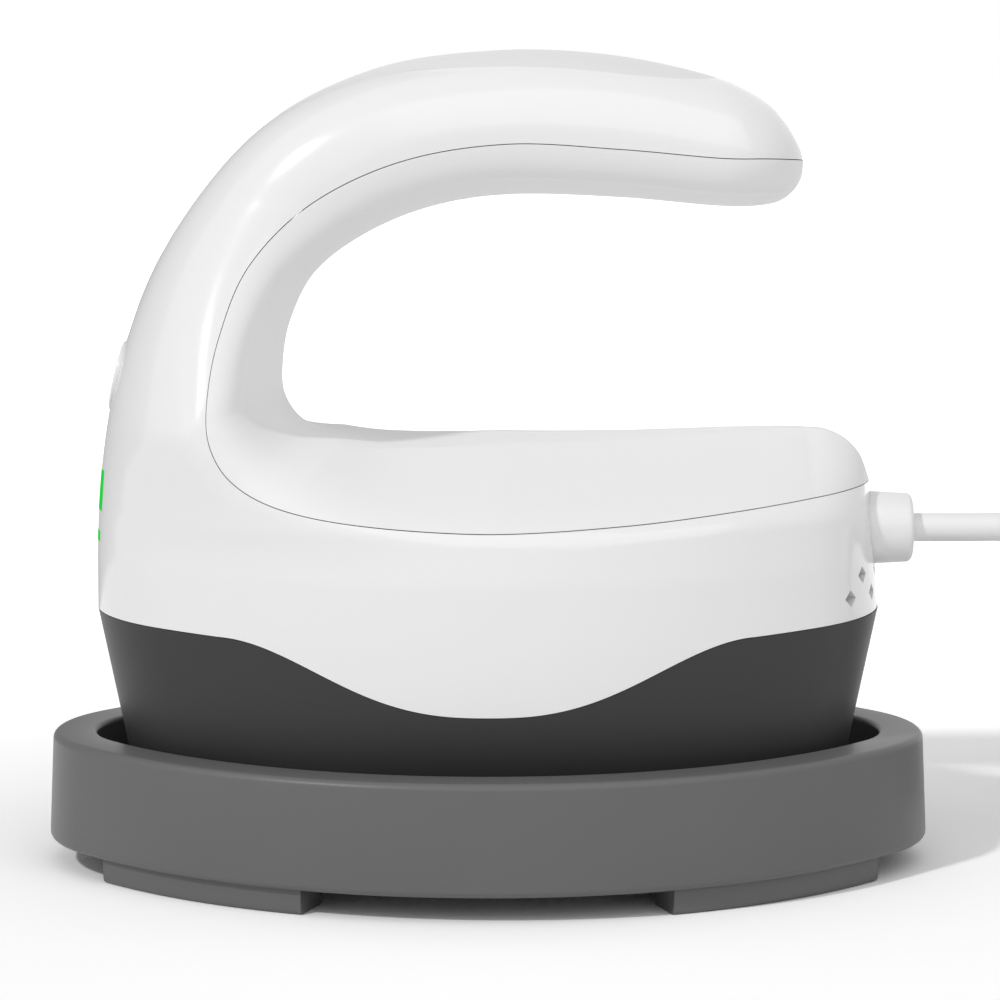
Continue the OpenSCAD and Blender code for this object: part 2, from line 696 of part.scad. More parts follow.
// ---------------------------------------------------------------- control board and button
// Depth of the control board behind the face, its reach up and down along the wall
panel_depth = 13;
control_up = 9;
control_down = 29;
control_w = 20;
mount_y = 7.5;
mount_drop = 10;
flange_depth = 3.9;
stem_depth = 6.6;
switch_depth = 9;
module control_board() {
    color("darkgreen") on_button_axis() difference() {
        translate([panel_depth, -control_w / 2, -control_down])
            cube([board_t, control_w, control_up + control_down]);
        for (y = [-1, 1]) translate([0, y * mount_y, -mount_drop])
            rod_x(small_screw_d + hole_gap, panel_depth - 1, panel_depth + board_t + 1);
    }
}
module switch_body() {
    color("black") on_button_axis() difference() {
        translate([switch_depth, -4, -4]) cube([panel_depth - switch_depth, 8, 8]);
        rod_x(3.8, switch_depth - 1, panel_depth - 1);
    }
}
module switch_plunger() {
    color("white") on_button_axis() rod_x(3.2, stem_depth, panel_depth - 1 - 2 * button_travel);
}
module power_button() {
    r = button_d / 2;
    profile = concat(
        [[0, -button_proud]],
        corner([r - 0.8, 0.8 - button_proud], 0.8, -90, 0),
        [[r, flange_depth], [r + 1.2, flange_depth], [r + 1.2, flange_depth + 1], [2, flange_depth + 1],
            [2, stem_depth], [0, stem_depth]]
    );
    color("white") on_button_axis() rotate([0, 90, 0]) rotate_extrude() polygon(profile);
}

// ---------------------------------------------------------------- light windows
// A slice of the front wall between two heights; its outer face follows the wall
module front_slice(z0, z1, w, proud, deep) {
    c = -body_len / 2 + body_end_r;
    half = asin(w / 2 / body_end_r);
    r0 = c - front(z0) + proud;
    r1 = c - front(z1) + proud;
    translate([c, 0, 0]) rotate(180 - half) rotate_extrude(angle = 2 * half)
        polygon([[r0 - deep, z0], [r0, z0], [r1, z1], [r1 - deep, z1]]);
}
light_z = 62.6;
dot_z = 55;
lens_gap = 0.2;
lens_t = 3;
module light_window() {
    color("lime") {
        front_slice(light_z - light_h / 2, light_z + light_h / 2, light_w, 0, lens_t);
        box(front(light_z) + lens_t - 1, front(light_z) + 9.4, 4, light_z - 2, light_z + 2);
    }
}
module light_dot() {
    color("lime") {
        front_slice(dot_z - dot_h / 2, dot_z + dot_h / 2, light_w, 0, lens_t);
        box(front(dot_z) + lens_t - 1, front(dot_z) + 7.6, 4, dot_z - 0.8, dot_z + 0.8);
    }
}

// ---------------------------------------------------------------- shells
// Boss that hangs from the deck: p holds x, distance from the mid-plane and top
module deck_boss(p, d, z0, bore) {
    for (y = [-1, 1]) translate([p[0] * kx, y * p[1] * ky, 0]) difference() {
        rod_z(d, z0, to_z(p[2]));
        rod_z(bore, z0 - 1, to_z(p[2]) - 3);
    }
}
// Screws of the cord clamp, like those of the casing
CLAMP_SCREW = [50, 7.5, 68.9];
clamp_x = CLAMP_SCREW[0] * kx;
clamp_y = CLAMP_SCREW[1] * ky;
module inner_shell() {
    color("whitesmoke") {
        inner_skin();
        for (p = CASING_SCREWS) deck_boss(p, boss_d - 1, web_z, bore_d);
        deck_boss(CLAMP_SCREW, boss_d - 2, cord_z + 0.5, small_bore_d);
    }
}
// Top panel: rows of the side view that it covers, from its round end to its point
PANEL_ROWS = [3.9, 3.94, 4.05, 4.25, 4.6, 5, 5.5, 6, 6.5, 7, 7.4, 7.8, 8.2, 8.55];
function panel_half(u) =
    panel_w / 2 * (u < 5 ? sqrt(max(0, 1 - pow((5 - u) / 1.1, 2))) : 1 - pow(max(0, u - 5) / 3.55, 2.2));
function panel_grid(extra, depth) =
    let (last = len(PANEL_ROWS) - 1)
    [for (i = [0:last])
        let (
            u = PANEL_ROWS[i] + (i == 0 ? -0.02 : i == last ? 0.03 : 0) * (extra > 0 ? 1 : 0),
            s = through(SIDE_VIEW, u),
            out_p = [s[4], s[5]],
            dir = unit([s[2], s[3]] - out_p),
            half = i == 0 || i == last ? 0 : panel_half(u) + extra
        )
        [for (k = [3:-1:-3])
            let (y = half * k / 3, d = 14 * (1 - sqrt(1 - pow(y / (handle_w / 2), 2))))
            placed(out_p + dir * (d + depth), y)]];
module panel_solid(extra, top, bottom) {
    two_skins(panel_grid(extra, -top), panel_grid(extra, bottom));
}
module handle_panel() {
    color("gainsboro") panel_solid(0, 0, panel_t);
}
VENTS = [for (k = [-2:2]) [k * vent_pitch, 46.8], for (k = [-1.5:1.5]) [k * vent_pitch, 50.2]];
module outer_shell() {
    color("white") {
        difference() {
            outer_skin();
            panel_solid(seam_gap, 2, panel_t + seam_gap / 2);
            for (v = VENTS)
                translate([body_len / 2 - body_end_r, 0, v[1]]) rotate([90, 0, 90 + v[0]])
                    translate([0, 0, body_end_r - 6]) linear_extrude(10)
                        polygon([[vent_w / 2, 0], [0, vent_h / 2], [-vent_w / 2, 0], [0, -vent_h / 2]]);
            translate([0, 0, cord_z]) rod_x(collar_d + hole_gap, body_len / 2 - 8, body_len / 2 + 4);
            on_button_axis() rod_x(button_d + 2 * button_gap, -4, flange_depth);
            front_slice(light_z - light_h / 2 - lens_gap, light_z + light_h / 2 + lens_gap,
                light_w + 2 * lens_gap, 2, 6);
            front_slice(dot_z - dot_h / 2 - lens_gap, dot_z + dot_h / 2 + lens_gap,
                light_w + 2 * lens_gap, 2, 6);
        }
        on_button_axis() for (y = [-1, 1]) translate([0, y * mount_y, -mount_drop]) difference() {
            rod_x(boss_d - 2, 2.4, panel_depth);
            rod_x(small_bore_d, 5, panel_depth + 1);
        }
    }
}
module casing_screws() {
    color("gray") casing_places()
        translate([0, 0, web_under]) rotate([180, 0, 0]) screw(screw_d, 14, head_d, head_h);
}

// ---------------------------------------------------------------- lead entry
module strain_relief() {
    r = collar_d / 2;
    end = body_len / 2 - 1 + collar_len;
    profile = concat(
        [[cord_d / 2 + 0.25, body_len / 2 - 8], [r + 2, body_len / 2 - 8], [r + 2, body_len / 2 - 5.6],
            [r, body_len / 2 - 5.6], [r, body_len / 2 - 1]],
        corner([r - 1.3, end - 1], 1, 0, 90),
        [[cord_d / 2 + 0.25, end]]
    );
    color("white") translate([0, 0, cord_z]) rotate([0, 90, 0]) rotate_extrude() polygon(profile);
}
module cord_clamp() {
    color("black") difference() {
        box(clamp_x - 4, clamp_x + 4, 2 * clamp_y + 6, cord_z - 4.6, cord_z + 0.5);
        translate([0, 0, cord_z]) rod_x(cord_d + 0.3, clamp_x - 5, clamp_x + 5);
        for (y = [-1, 1]) translate([clamp_x, y * clamp_y, 0])
            rod_z(small_screw_d + hole_gap, cord_z - 6, cord_z + 2);
    }
}
module clamp_screws() {
    color("gray") for (y = [-1, 1]) translate([clamp_x, y * clamp_y, cord_z - 4.6])
        rotate([180, 0, 0]) screw(small_screw_d, 9, head_d - 1, head_h);
}

// ---------------------------------------------------------------- tubes
// Direction of a route at each point
function headings(route) = [for (i = [0:len(route) - 1])
    unit(route[min(i + 1, len(route) - 1)] - route[max(i - 1, 0)])];
// Ring of n points round each point of a route; the first point of a ring lies level
function rings(route, d, n) =
    let (h = headings(route))
    [for (i = [0:len(route) - 1])
        let (
            level = abs(h[i][2]) > 0.95 ? [0, 1, 0] : [0, 0, 1],
            side = unit(cross(h[i], level)),
            up = cross(side, h[i])
        )
        [for (k = [0:n]) route[i] + d / 2 * (cos(360 * k / n) * side + sin(360 * k / n) * up)]];
module tube(route, d, n) {
    g = rings(route, d, n);
    rows = len(g);
    polyhedron(
        points = flat(g),
        faces = concat(
            grid_faces(rows, n + 1, 0, false),
            [[for (k = [n - 1:-1:0]) k], [for (k = [0:n - 1]) (rows - 1) * (n + 1) + k]]
        ),
        convexity = 6
    );
}

// ---------------------------------------------------------------- wires inside
module wire_pair(route, d) {
    color("white") for (s = [-1, 1]) tube([for (p = route) [p[0], s * p[1], p[2]]], d, 6);
}
HEATER_ROUTE = [
    [wire_x + 15.6, 3, 16.8], [wire_x + 9, 3, 16.8], [wire_x + 3.5, 2.6, 16.9],
    [wire_x + 0.4, 2.2, 19.5], [wire_x, 2, 25], [wire_x + 1, 2.2, 31], [wire_x + 6, 3, 35.5],
    [-37, 4, 37.4], [-33, 4.6, 37.4], [-30.4, 5, 36.4], [-30, 5, 34.8], [-30, 5, 33.8]
];
SUPPLY_ROUTE = [[43.9, 1.3, 56.4], [38, 2, 56], [31, 3.4, 53], [26.5, 4, 48], [25.5, 4, 43], [25.5, 4, 39]];
SIGNAL_ROUTE = [[-27, 2.4, 33.8], [-27, 2.4, 36], [-28, 2.4, 39.5], [-32, 2.4, 43], [-40, 2.4, 47],
    [18.4 - body_len / 2, 2.4, 50.6], [12.6 - body_len / 2, 2.4, 54]];
module heater_wires() {
    wire_pair(HEATER_ROUTE, 1.4);
}
module supply_wires() {
    wire_pair(SUPPLY_ROUTE, 1.8);
}
module signal_wires() {
    wire_pair(SIGNAL_ROUTE, 1.2);
}

// ---------------------------------------------------------------- mains lead
// From the cord clamp to the mouth of the collar
INLET_ROUTE = [for (x = [44, 54, 63, body_len / 2 + 5.6]) [x, 0, cord_z]];
// From the mouth of the collar down to the start of the coil
RUN_ROUTE = [
    [71.3, 0, 56.4], [76.3, 0, 56.4], [82, 0, 56.4], [86.5, 0, 56.4],
    [93.5, 0, 55.5], [100, 0, 52.8], [105.6, 0, 48.5], [109.9, 0, 42.9], [112.6, 0, 36.4],
    [113.5, 0.1, 29.4], [114.4, 0.4, 22.5], [117.1, 1.1, 16.2], [121.4, 2, 10.9], [127, 3, 6.8],
    [133.5, 3.7, 4.2], [140, 4, 3.2], [144.1, 4, 3.2]
];
// From the end of the coil's top turn up to the plug, which lies on the coil
TAIL_ROUTE = [
    [111, 37.2, 19.1], [111, 32.6, 19.5], [111, 28.6, 20.7], [111.5, 25, 22.2], [112.9, 21.6, 23.8],
    [115.1, 18.7, 25.4], [118, 16.5, 26.8], [121.4, 15.1, 27.8], [125, 14.6, 28.2],
    [129.4, 14.6, 28.2]
];
COIL_CENTRE = [144.6, 37.6];
coil_turns = 9.75;
coil_layers = 4;
coil_steps = 24;
tie_t = 0.8;
tie_w = 6;
tie_gap = 0.3;
coil_pitch = cord_d + coil_gap;
layer_turns = coil_turns / coil_layers;
coil_out_r = coil_r + coil_pitch * layer_turns / 2;
coil_in_r = coil_r - coil_pitch * layer_turns / 2;
coil_top = tie_t + cord_d + (coil_layers - 1) * coil_pitch;
// Point of the coil after t turns: it spirals in and out layer by layer, and climbs in the
// half turn where the spiral reverses
function coil_point(t) =
    let (
        layer = min(coil_layers - 1, floor(t / layer_turns)),
        f = t - layer * layer_turns,
        r = layer % 2 == 0 ? coil_out_r - coil_pitch * f : coil_in_r + coil_pitch * f,
        climbs = [for (k = [1:coil_layers - 1]) ease((t - k * layer_turns) / 0.5 + 0.5)],
        a = 360 * t - 90
    )
    [COIL_CENTRE[0] + r * cos(a), COIL_CENTRE[1] + r * sin(a),
        tie_t + cord_d / 2 + coil_pitch * (climbs * [for (c = climbs) 1])];
COIL_ROUTE = [for (i = [0:coil_turns * coil_steps]) coil_point(i / coil_steps)];
// Least clear distance between turns of the coil, measured on its points
function least_gap(route, skip) =
    min([for (i = [0:len(route) - 1 - skip], j = [i + skip:len(route) - 1])
        norm(route[j] - route[i])]) - cord_d;
echo(coil_least_gap = least_gap(COIL_ROUTE, coil_steps / 2));  // cord_coil

module cord_inlet() {
    color("white") tube(INLET_ROUTE, cord_d, 10);
}
module cord_run() {
    color("white") tube(RUN_ROUTE, cord_d, 10);
}
module cord_coil() {
    color("white") tube(COIL_ROUTE, cord_d, 6);
}
module cord_tail() {
    color("white") tube(TAIL_ROUTE, cord_d, 10);
}
module cord_tie() {
    module band(grow) {
        inner = coil_in_r - cord_d / 2 - tie_gap - grow;
        outer = coil_out_r + cord_d / 2 + tie_gap + grow;
        translate([inner, tie_t - grow]) square([outer - inner, coil_top - tie_t + tie_gap + 2 * grow]);
    }
    color("black") translate([COIL_CENTRE[0] - tie_w / 2, COIL_CENTRE[1], 0])
        rotate([90, 0, 90])
            linear_extrude(tie_w) difference() {
                band(tie_t);
                band(0);
            }
}

// ---------------------------------------------------------------- plug
plug_x = 129.5;
plug_y = 14.6;
plug_h = 13;
plug_rest = 0.2;
plug_z = coil_top + plug_rest + plug_h / 2;
blade_pitch = 12.7;
blade_w = 6.3;
blade_t = 1.5;
module blades(grow) {
    for (s = [-1, 1])
        translate([plug_x + 27, plug_y + s * blade_pitch / 2 - blade_t / 2 - grow,
                   plug_z - blade_w / 2 - grow])
        cube([23, blade_t + 2 * grow, blade_w + 2 * grow]);
}
module plug_body() {
    color("white") difference() {
        union() {
            translate([0, 0, plug_z - plug_h / 2]) linear_extrude(plug_h) translate([plug_x + 5, plug_y])
                polygon(concat(corner([2, -4], 2, 180, 270, 4), corner([12, -8], 4, 255, 270, 2),
                    corner([25, -9], 3, 270, 360, 4), corner([25, 9], 3, 0, 90, 4),
                    corner([12, 8], 4, 90, 105, 2), corner([2, 4], 2, 90, 180, 4)));
            translate([0, plug_y, plug_z]) rod_x(9, plug_x, plug_x + 8);
        }
        blades(0.05);
    }
}
module plug_blades() {
    color("silver") blades(0);
}

safety_tray();
outer_shell();
inner_shell();
handle_panel();
skirt();
heat_plate();
heating_element();
element_clamp();
insulation_pad();
thermal_fuse();
thermistor();
plate_screws();
power_board();
relay();
capacitor();
terminal_block();
board_screws();
control_board();
switch_body();
switch_plunger();
power_button();
light_window();
light_dot();
casing_screws();
strain_relief();
cord_clamp();
clamp_screws();
heater_wires();
supply_wires();
signal_wires();
cord_inlet();
cord_run();
cord_coil();
cord_tail();
cord_tie();
plug_body();
plug_blades();
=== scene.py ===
import math

import bmesh
import bpy
import numpy as np
from mathutils import Matrix, Vector


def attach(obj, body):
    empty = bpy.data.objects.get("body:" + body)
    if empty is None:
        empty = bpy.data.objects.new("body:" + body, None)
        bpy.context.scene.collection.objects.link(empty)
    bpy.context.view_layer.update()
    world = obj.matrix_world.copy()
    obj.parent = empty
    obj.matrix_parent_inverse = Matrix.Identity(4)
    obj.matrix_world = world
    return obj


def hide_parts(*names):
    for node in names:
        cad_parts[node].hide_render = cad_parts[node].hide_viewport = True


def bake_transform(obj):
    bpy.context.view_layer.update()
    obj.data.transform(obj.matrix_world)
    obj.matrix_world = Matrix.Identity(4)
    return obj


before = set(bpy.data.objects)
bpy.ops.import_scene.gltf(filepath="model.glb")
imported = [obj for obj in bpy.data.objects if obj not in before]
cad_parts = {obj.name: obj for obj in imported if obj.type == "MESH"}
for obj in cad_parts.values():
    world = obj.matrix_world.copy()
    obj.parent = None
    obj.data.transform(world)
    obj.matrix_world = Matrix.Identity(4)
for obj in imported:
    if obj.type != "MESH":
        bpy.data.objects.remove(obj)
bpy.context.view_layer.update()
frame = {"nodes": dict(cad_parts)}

nodes = frame["nodes"]
scene = bpy.context.scene
scene.view_settings.view_transform = "Standard"
MM = 0.001

# ---------------------------------------------------------------- camera
# The photograph's view: a long lens a little above the tray, level with the handle's
# upper face, looking straight at the long side of the press.
camera_data = bpy.data.cameras.new("view")
camera_data.sensor_width = 36
camera_data.lens = 129.9
camera_data.clip_start, camera_data.clip_end = 0.05, 20
camera = bpy.data.objects.new("view", camera_data)
camera.location = (0.0020, -0.600, 0.1378)
camera.rotation_euler = (math.radians(90 - 7.295), 0, 0)
scene.collection.objects.link(camera)
scene.camera = camera


# ---------------------------------------------------------------- mains lead
# White two-core lead, 1.8 m long: out of the collar, down to the table, wound into a
# coil of four layers held by a tie, and up to its moulded plug, which lies on the coil.
class Nodes:
    """A node tree that is written as expressions."""

    def __init__(self, tree):
        self.tree = tree

    def add(self, kind, settings=None, sockets=None, out=0):
        """A node with its settings made first, then its sockets' values or links."""
        made = self.tree.nodes.new(kind)
        for name, value in (settings or {}).items():
            setattr(made, name, value)
        for name, value in (sockets or {}).items():
            self.feed(made.inputs[name], value)
        return Number(self, made.outputs[out]) if made.outputs else made

    def feed(self, socket, value):
        if isinstance(value, Number):
            self.tree.links.new(value.socket, socket)
        else:
            socket.default_value = value


class Number:
    """A node's output, on which plain operators add the nodes that work it out."""

    def __init__(self, nodes, socket):
        self.nodes = nodes
        self.socket = socket

    def math(self, operation, first, second, clamp=False):
        settings = {"operation": operation, "use_clamp": clamp}
        return self.nodes.add("ShaderNodeMath", settings, {0: first, 1: second})

    def __add__(self, other):
        return self.math("ADD", self, other)

    def __sub__(self, other):
        return self.math("SUBTRACT", self, other)

    def __rsub__(self, other):
        return self.math("SUBTRACT", other, self)

    def __mul__(self, other):
        return self.math("MULTIPLY", self, other)

    __radd__ = __add__
    __rmul__ = __mul__

    def ramp(self, low, high):
        """0 up to low, 1 from high on, and a straight ramp between."""
        return self.math("MULTIPLY", self - low, 1 / (high - low), clamp=True)


class Finish(Nodes):
    """A procedural material on one shader, worked out from a piece's own coordinates."""

    def __init__(self, name, **fixed):
        self.material = bpy.data.materials.new(name)
        self.material.use_nodes = True
        super().__init__(self.material.node_tree)
        self.shader = self.tree.nodes["Principled BSDF"]
        for socket, value in fixed.items():
            self.shader.inputs[socket.replace("_", " ")].default_value = value
        self.place = self.add("ShaderNodeTexCoord", out="Object")

    def noise(self, size, detail=2.0, stretch=(1, 1, 1)):
        """Noise about 0.5 whose features are about size metres across."""
        place = self.add("ShaderNodeMapping", None, {"Vector": self.place, "Scale": stretch})
        return self.add("ShaderNodeTexNoise", None,
                        {"Vector": place, "Scale": 1 / size, "Detail": detail})

    def colour(self, amount, low, high):
        mixed = self.add("ShaderNodeMix", {"data_type": "RGBA"},
                         {0: amount, 6: (*low, 1), 7: (*high, 1)}, out=2)
        self.feed(self.shader.inputs["Base Color"], mixed)

    def rough(self, value):
        self.feed(self.shader.inputs["Roughness"], value)

    def bump(self, height, depth):
        raised = self.add("ShaderNodeBump", None,
                          {"Strength": 1.0, "Distance": depth, "Height": height})
        self.feed(self.shader.inputs["Normal"], raised)


def shade(value, share):
    """A colour as three numbers, made lighter or darker by a share."""
    return tuple(min(1.0, c * share) for c in value)


def moulded(name, colour, rough, grain=0.0004, depth=0.00001, patch=0.03, spread=0.03, **fixed):
    """Moulded plastic: a fine grain from the tool, and slow changes of colour and gloss."""
    made = Finish(name, **fixed)
    slow = made.noise(patch)
    fine = made.noise(grain, 1.0)
    made.colour(slow, shade(colour, 1 - spread), shade(colour, 1 + spread))
    made.rough(slow * 0.06 + (rough - 0.03) + fine * 0.02)
    made.bump(fine, depth)
    return made.material


def new_piece(name, verts, faces, material, smooth=40.0):
    """A mesh object with outward faces, smooth but for edges sharper than an angle."""
    mesh = bpy.data.meshes.new(name)
    mesh.from_pydata([tuple(v) for v in verts], [], [tuple(f) for f in faces])
    made = bmesh.new()
    made.from_mesh(mesh)
    bmesh.ops.remove_doubles(made, verts=made.verts, dist=1e-6)
    bmesh.ops.recalc_face_normals(made, faces=made.faces)
    made.to_mesh(mesh)
    made.free()
    mesh.shade_smooth()
    mesh.set_sharp_from_angle(angle=math.radians(smooth))
    mesh.materials.append(material)
    piece = bpy.data.objects.new(name, mesh)
    scene.collection.objects.link(piece)
    return piece


def smooth_route(points, spacing):
    """Catmull-Rom curve through given points, as points about spacing apart."""
    ends = [2 * points[0] - points[1], *points, 2 * points[-1] - points[-2]]
    line = []
    for a, b, c, d in zip(ends, ends[1:], ends[2:], ends[3:]):
        steps = max(1, round(np.linalg.norm(c - b) / spacing))
        for t in np.arange(steps) / steps:
            line.append((2 * b + (c - a) * t + (2 * a - 5 * b + 4 * c - d) * t**2
                         + (3 * b - a - 3 * c + d) * t**3) / 2)
    return line + [points[-1]]


def tube(route, radius, sides):
    """Rings of points round a route and the faces between them, closed by a flat at each end."""
    route = np.array(route)
    heading = np.gradient(route, axis=0)
    heading /= np.linalg.norm(heading, axis=1)[:, None]
    side = np.cross(heading[0], (0, 0, 1.0))
    verts = []
    for point, ahead in zip(route, heading):
        side = side - ahead * side.dot(ahead)
        side /= np.linalg.norm(side)
        up = np.cross(side, ahead)
        for k in range(sides):
            turn = 2 * math.pi * k / sides
            verts.append(point + radius * (math.cos(turn) * side + math.sin(turn) * up))
    faces = []
    for i in range(len(route) - 1):
        for k in range(sides):
            a, b = i * sides + k, i * sides + (k + 1) % sides
            faces.append((a, b, b + sides, a + sides))
    last = (len(route) - 1) * sides
    return verts, [*faces, range(sides), range(last + sides - 1, last - 1, -1)]


CORD_D, CORD_Z = 4.8, 56.4
# The route's own points, in millimetres: from the collar's mouth to the coil, and from
# the coil's top turn to the plug
RUN_ROUTE = [
    (71.3, 0, CORD_Z), (76.3, 0, CORD_Z), (82, 0, CORD_Z), (86.5, 0, CORD_Z),
    (93.5, 0, 55.5), (100, 0, 52.8), (105.6, 0, 48.5), (109.9, 0, 42.9), (112.6, 0, 36.4),
    (113.5, 0.1, 29.4), (114.4, 0.4, 22.5), (117.1, 1.1, 16.2), (121.4, 2, 10.9), (127, 3, 6.8),
    (133.5, 3.7, 4.2), (140, 4, 3.2),
]
TAIL_ROUTE = [
    (111, 32.6, 19.5), (111, 28.6, 20.7), (111.5, 25, 22.2), (112.9, 21.6, 23.8),
    (115.1, 18.7, 25.4), (118, 16.5, 26.8), (121.4, 15.1, 27.8), (125, 14.6, 28.2),
    (129.4, 14.6, 28.2),
]
COIL_CENTRE = (144.6, 37.6)
COIL_R, COIL_TURNS, COIL_LAYERS, COIL_PITCH, COIL_LIFT = 27.1, 9.75, 4, 5.3, 0.8


def ease(t):
    t = min(1.0, max(0.0, t))
    return t * t * (3 - 2 * t)


def coil_point(turns):
    """Spirals in and out layer by layer, climbing in the half turn where it reverses."""
    per_layer = COIL_TURNS / COIL_LAYERS
    layer = min(COIL_LAYERS - 1, int(turns / per_layer))
    along = turns - layer * per_layer
    reach = COIL_PITCH * per_layer / 2
    r = COIL_R + (reach - COIL_PITCH * along if layer % 2 == 0 else COIL_PITCH * along - reach)
    climb = sum(ease((turns - k * per_layer) / 0.5 + 0.5) for k in range(1, COIL_LAYERS))
    angle = 2 * math.pi * turns - math.pi / 2
    return np.array((COIL_CENTRE[0] + r * math.cos(angle), COIL_CENTRE[1] + r * math.sin(angle),
                     COIL_LIFT + CORD_D / 2 + COIL_PITCH * climb))


coil = [coil_point(k / 40) for k in range(1, int(COIL_TURNS * 40) + 1)]
route = smooth_route([np.array(p, float) for p in RUN_ROUTE] + coil[::4] + [coil[-1]]
                     + [np.array(p, float) for p in TAIL_ROUTE], 1.6)
route = [np.array((71.05, 0, CORD_Z)), *route]
route = [p * MM for p in route]

lead_white = moulded("lead_white", (0.84, 0.84, 0.84), 0.32, patch=0.02, depth=0.000004)
lead = new_piece("mains_lead", *tube(route, CORD_D / 2 * MM, 16), lead_white)
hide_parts("cord_run", "cord_coil", "cord_tail")
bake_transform(lead)


def dress(material, *names):
    """Gives CAD nodes a material."""
    for name in names:
        mesh = nodes[name].data
        mesh.materials.clear()
        mesh.materials.append(material)


dress(lead_white, "cord_inlet", "plug_body")
dress(moulded("tie_black", (0.03, 0.03, 0.032), 0.5), "cord_tie")


def metal(name, colour, rough, along=(1, 1, 1), depth=0.000002):
    """Bare or plated metal with fine drawn lines along one axis."""
    made = Finish(name, Metallic=1.0)
    lines = made.noise(0.0006, 3.0, along)
    slow = made.noise(0.02)
    made.colour(slow, shade(colour, 0.93), shade(colour, 1.04))
    made.rough(lines * 0.12 + (rough - 0.06))
    made.bump(lines, depth)
    return made.material


nickel = metal("plated_blade", (0.72, 0.68, 0.6), 0.28, (0.08, 1, 1))
dress(nickel, "plug_blades")

# ---------------------------------------------------------------- safety tray
# Deep oval tray moulded in dark grey heat-proof plastic: a wall with a flat rim and rounded
# edges, which narrows a little upwards. It stands on four low feet with a plinth far back
# between them, and six posts in the well carry the press.
TRAY = (74.0, 48.7, 26.0)
SKIRT_FOOT = (59.4, 35.0, 24.0)
TRAY_TOP, RIM_W, RIM_ROUND, FOOT_H, FLOOR_T = 22.3, 7.4, 1.2, 4.2, 2.4
TRAY_DRAFT, WELL_ROUND = 0.7, 0.9
POST_R, POST_TOP = 2, 14


def oval_point(oval, angle):
    """Point of a four-arc oval (half length, half width, end radius) that faces angle."""
    length, width, end_r = oval
    c = length - end_r
    side_r = (c * c + width * width - end_r * end_r) / (2 * (width - end_r))
    joint = math.atan2(side_r - width, c)
    a = abs((angle + math.pi) % (2 * math.pi) - math.pi)
    if a < joint or a > math.pi - joint:
        near_end = math.copysign(c, math.cos(angle))
        return (near_end + end_r * math.cos(angle), end_r * math.sin(angle))
    lift = math.copysign(side_r - width, math.sin(angle))
    return (side_r * math.cos(angle), side_r * math.sin(angle) - lift)


def arc(x, z, r, start, end, steps=6):
    """Quarter-round of a profile, from start to end in degrees."""
    turns = [math.radians(start + (end - start) * k / steps) for k in range(steps + 1)]
    return [(x + r * math.cos(t), z + r * math.sin(t)) for t in turns]


def oval_sweep(oval, profile, start=0.0, end=360.0, step=1.5, caps=True):
    """A profile of (outwards, height) points carried round the oval, as verts and faces."""
    count = round((end - start) / step)
    whole = end - start == 360
    verts, faces, n = [], [], len(profile)
    for i in range(count + (0 if whole else 1)):
        angle = math.radians(start + i * (end - start) / count)
        x, y = oval_point(oval, angle)
        ahead = (math.cos(angle), math.sin(angle))
        for out, z in profile:
            verts.append(((x + out * ahead[0]) * MM, (y + out * ahead[1]) * MM, z * MM))
    rings = len(verts) // n
    for i in range(count):
        for k in range(n - (0 if caps else 1)):
            a, b = i * n + k, i * n + (k + 1) % n
            c, d = (i + 1) % rings * n + (k + 1) % n, (i + 1) % rings * n + k
            faces.append((a, b, c, d))
    if caps and not whole:
        faces += [range(n), range(len(verts) - 1, len(verts) - n - 1, -1)]
    if not caps:
        faces += [[i * n for i in range(rings)], [i * n + n - 1 for i in range(rings - 1, -1, -1)]]
    return verts, faces


tray_grey = moulded("tray_grey", (0.136, 0.136, 0.138), 0.36, grain=0.0005, depth=0.00002,
                    spread=0.05, Specular_IOR_Level=0.3)
bowl = (arc(-RIM_ROUND, FOOT_H + RIM_ROUND, RIM_ROUND, -90, 0)
        + arc(-TRAY_DRAFT - RIM_ROUND, TRAY_TOP - RIM_ROUND, RIM_ROUND, 0, 90, 8)
        + arc(0.2 - RIM_W, TRAY_TOP - WELL_ROUND, WELL_ROUND, 90, 180)
        + arc(-0.2 - RIM_W, FOOT_H + FLOOR_T + 1.2, 1.2, 180, 270))
tray_parts = [oval_sweep(TRAY, bowl, caps=False)]
foot = [(-9.7, FOOT_H + 0.4), (-9.7, 0)] + arc(-2.5, 0.8, 0.8, -90, 0) + [(-1.6, FOOT_H + 0.4)]
for first, last in ((42, 70), (110, 137), (223, 250), (290, 318)):
    tray_parts.append(oval_sweep(TRAY, foot, first, last, 1.0))
plinth = [(-18, 0.6), (-18, FOOT_H + 0.4), (-21, FOOT_H + 0.4), (-21, 0.6)]
tray_parts.append(oval_sweep(TRAY, plinth))
for angle in (30, 90, 150, 210, 270, 330):
    x, y = oval_point(tuple(s - 0.6 for s in SKIRT_FOOT), math.radians(angle))
    post_edge = [(POST_R * math.cos(k * math.pi / 12), POST_R * math.sin(k * math.pi / 12))
                 for k in range(24)]
    post = [((x + u) * MM, (y + v) * MM, z * MM) for z in (6, POST_TOP) for u, v in post_edge]
    sides = [(k, (k + 1) % 24, 24 + (k + 1) % 24, 24 + k) for k in range(24)]
    tray_parts.append((post, [*sides, range(23, -1, -1), range(24, 48)]))


def joined(parts):
    """Several (verts, faces) as one."""
    verts, faces = [], []
    for v, f in parts:
        faces += [[i + len(verts) for i in face] for face in f]
        verts += list(v)
    return verts, faces


tray = new_piece("tray", *joined(tray_parts), tray_grey)
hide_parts("safety_tray")
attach(tray, "base")

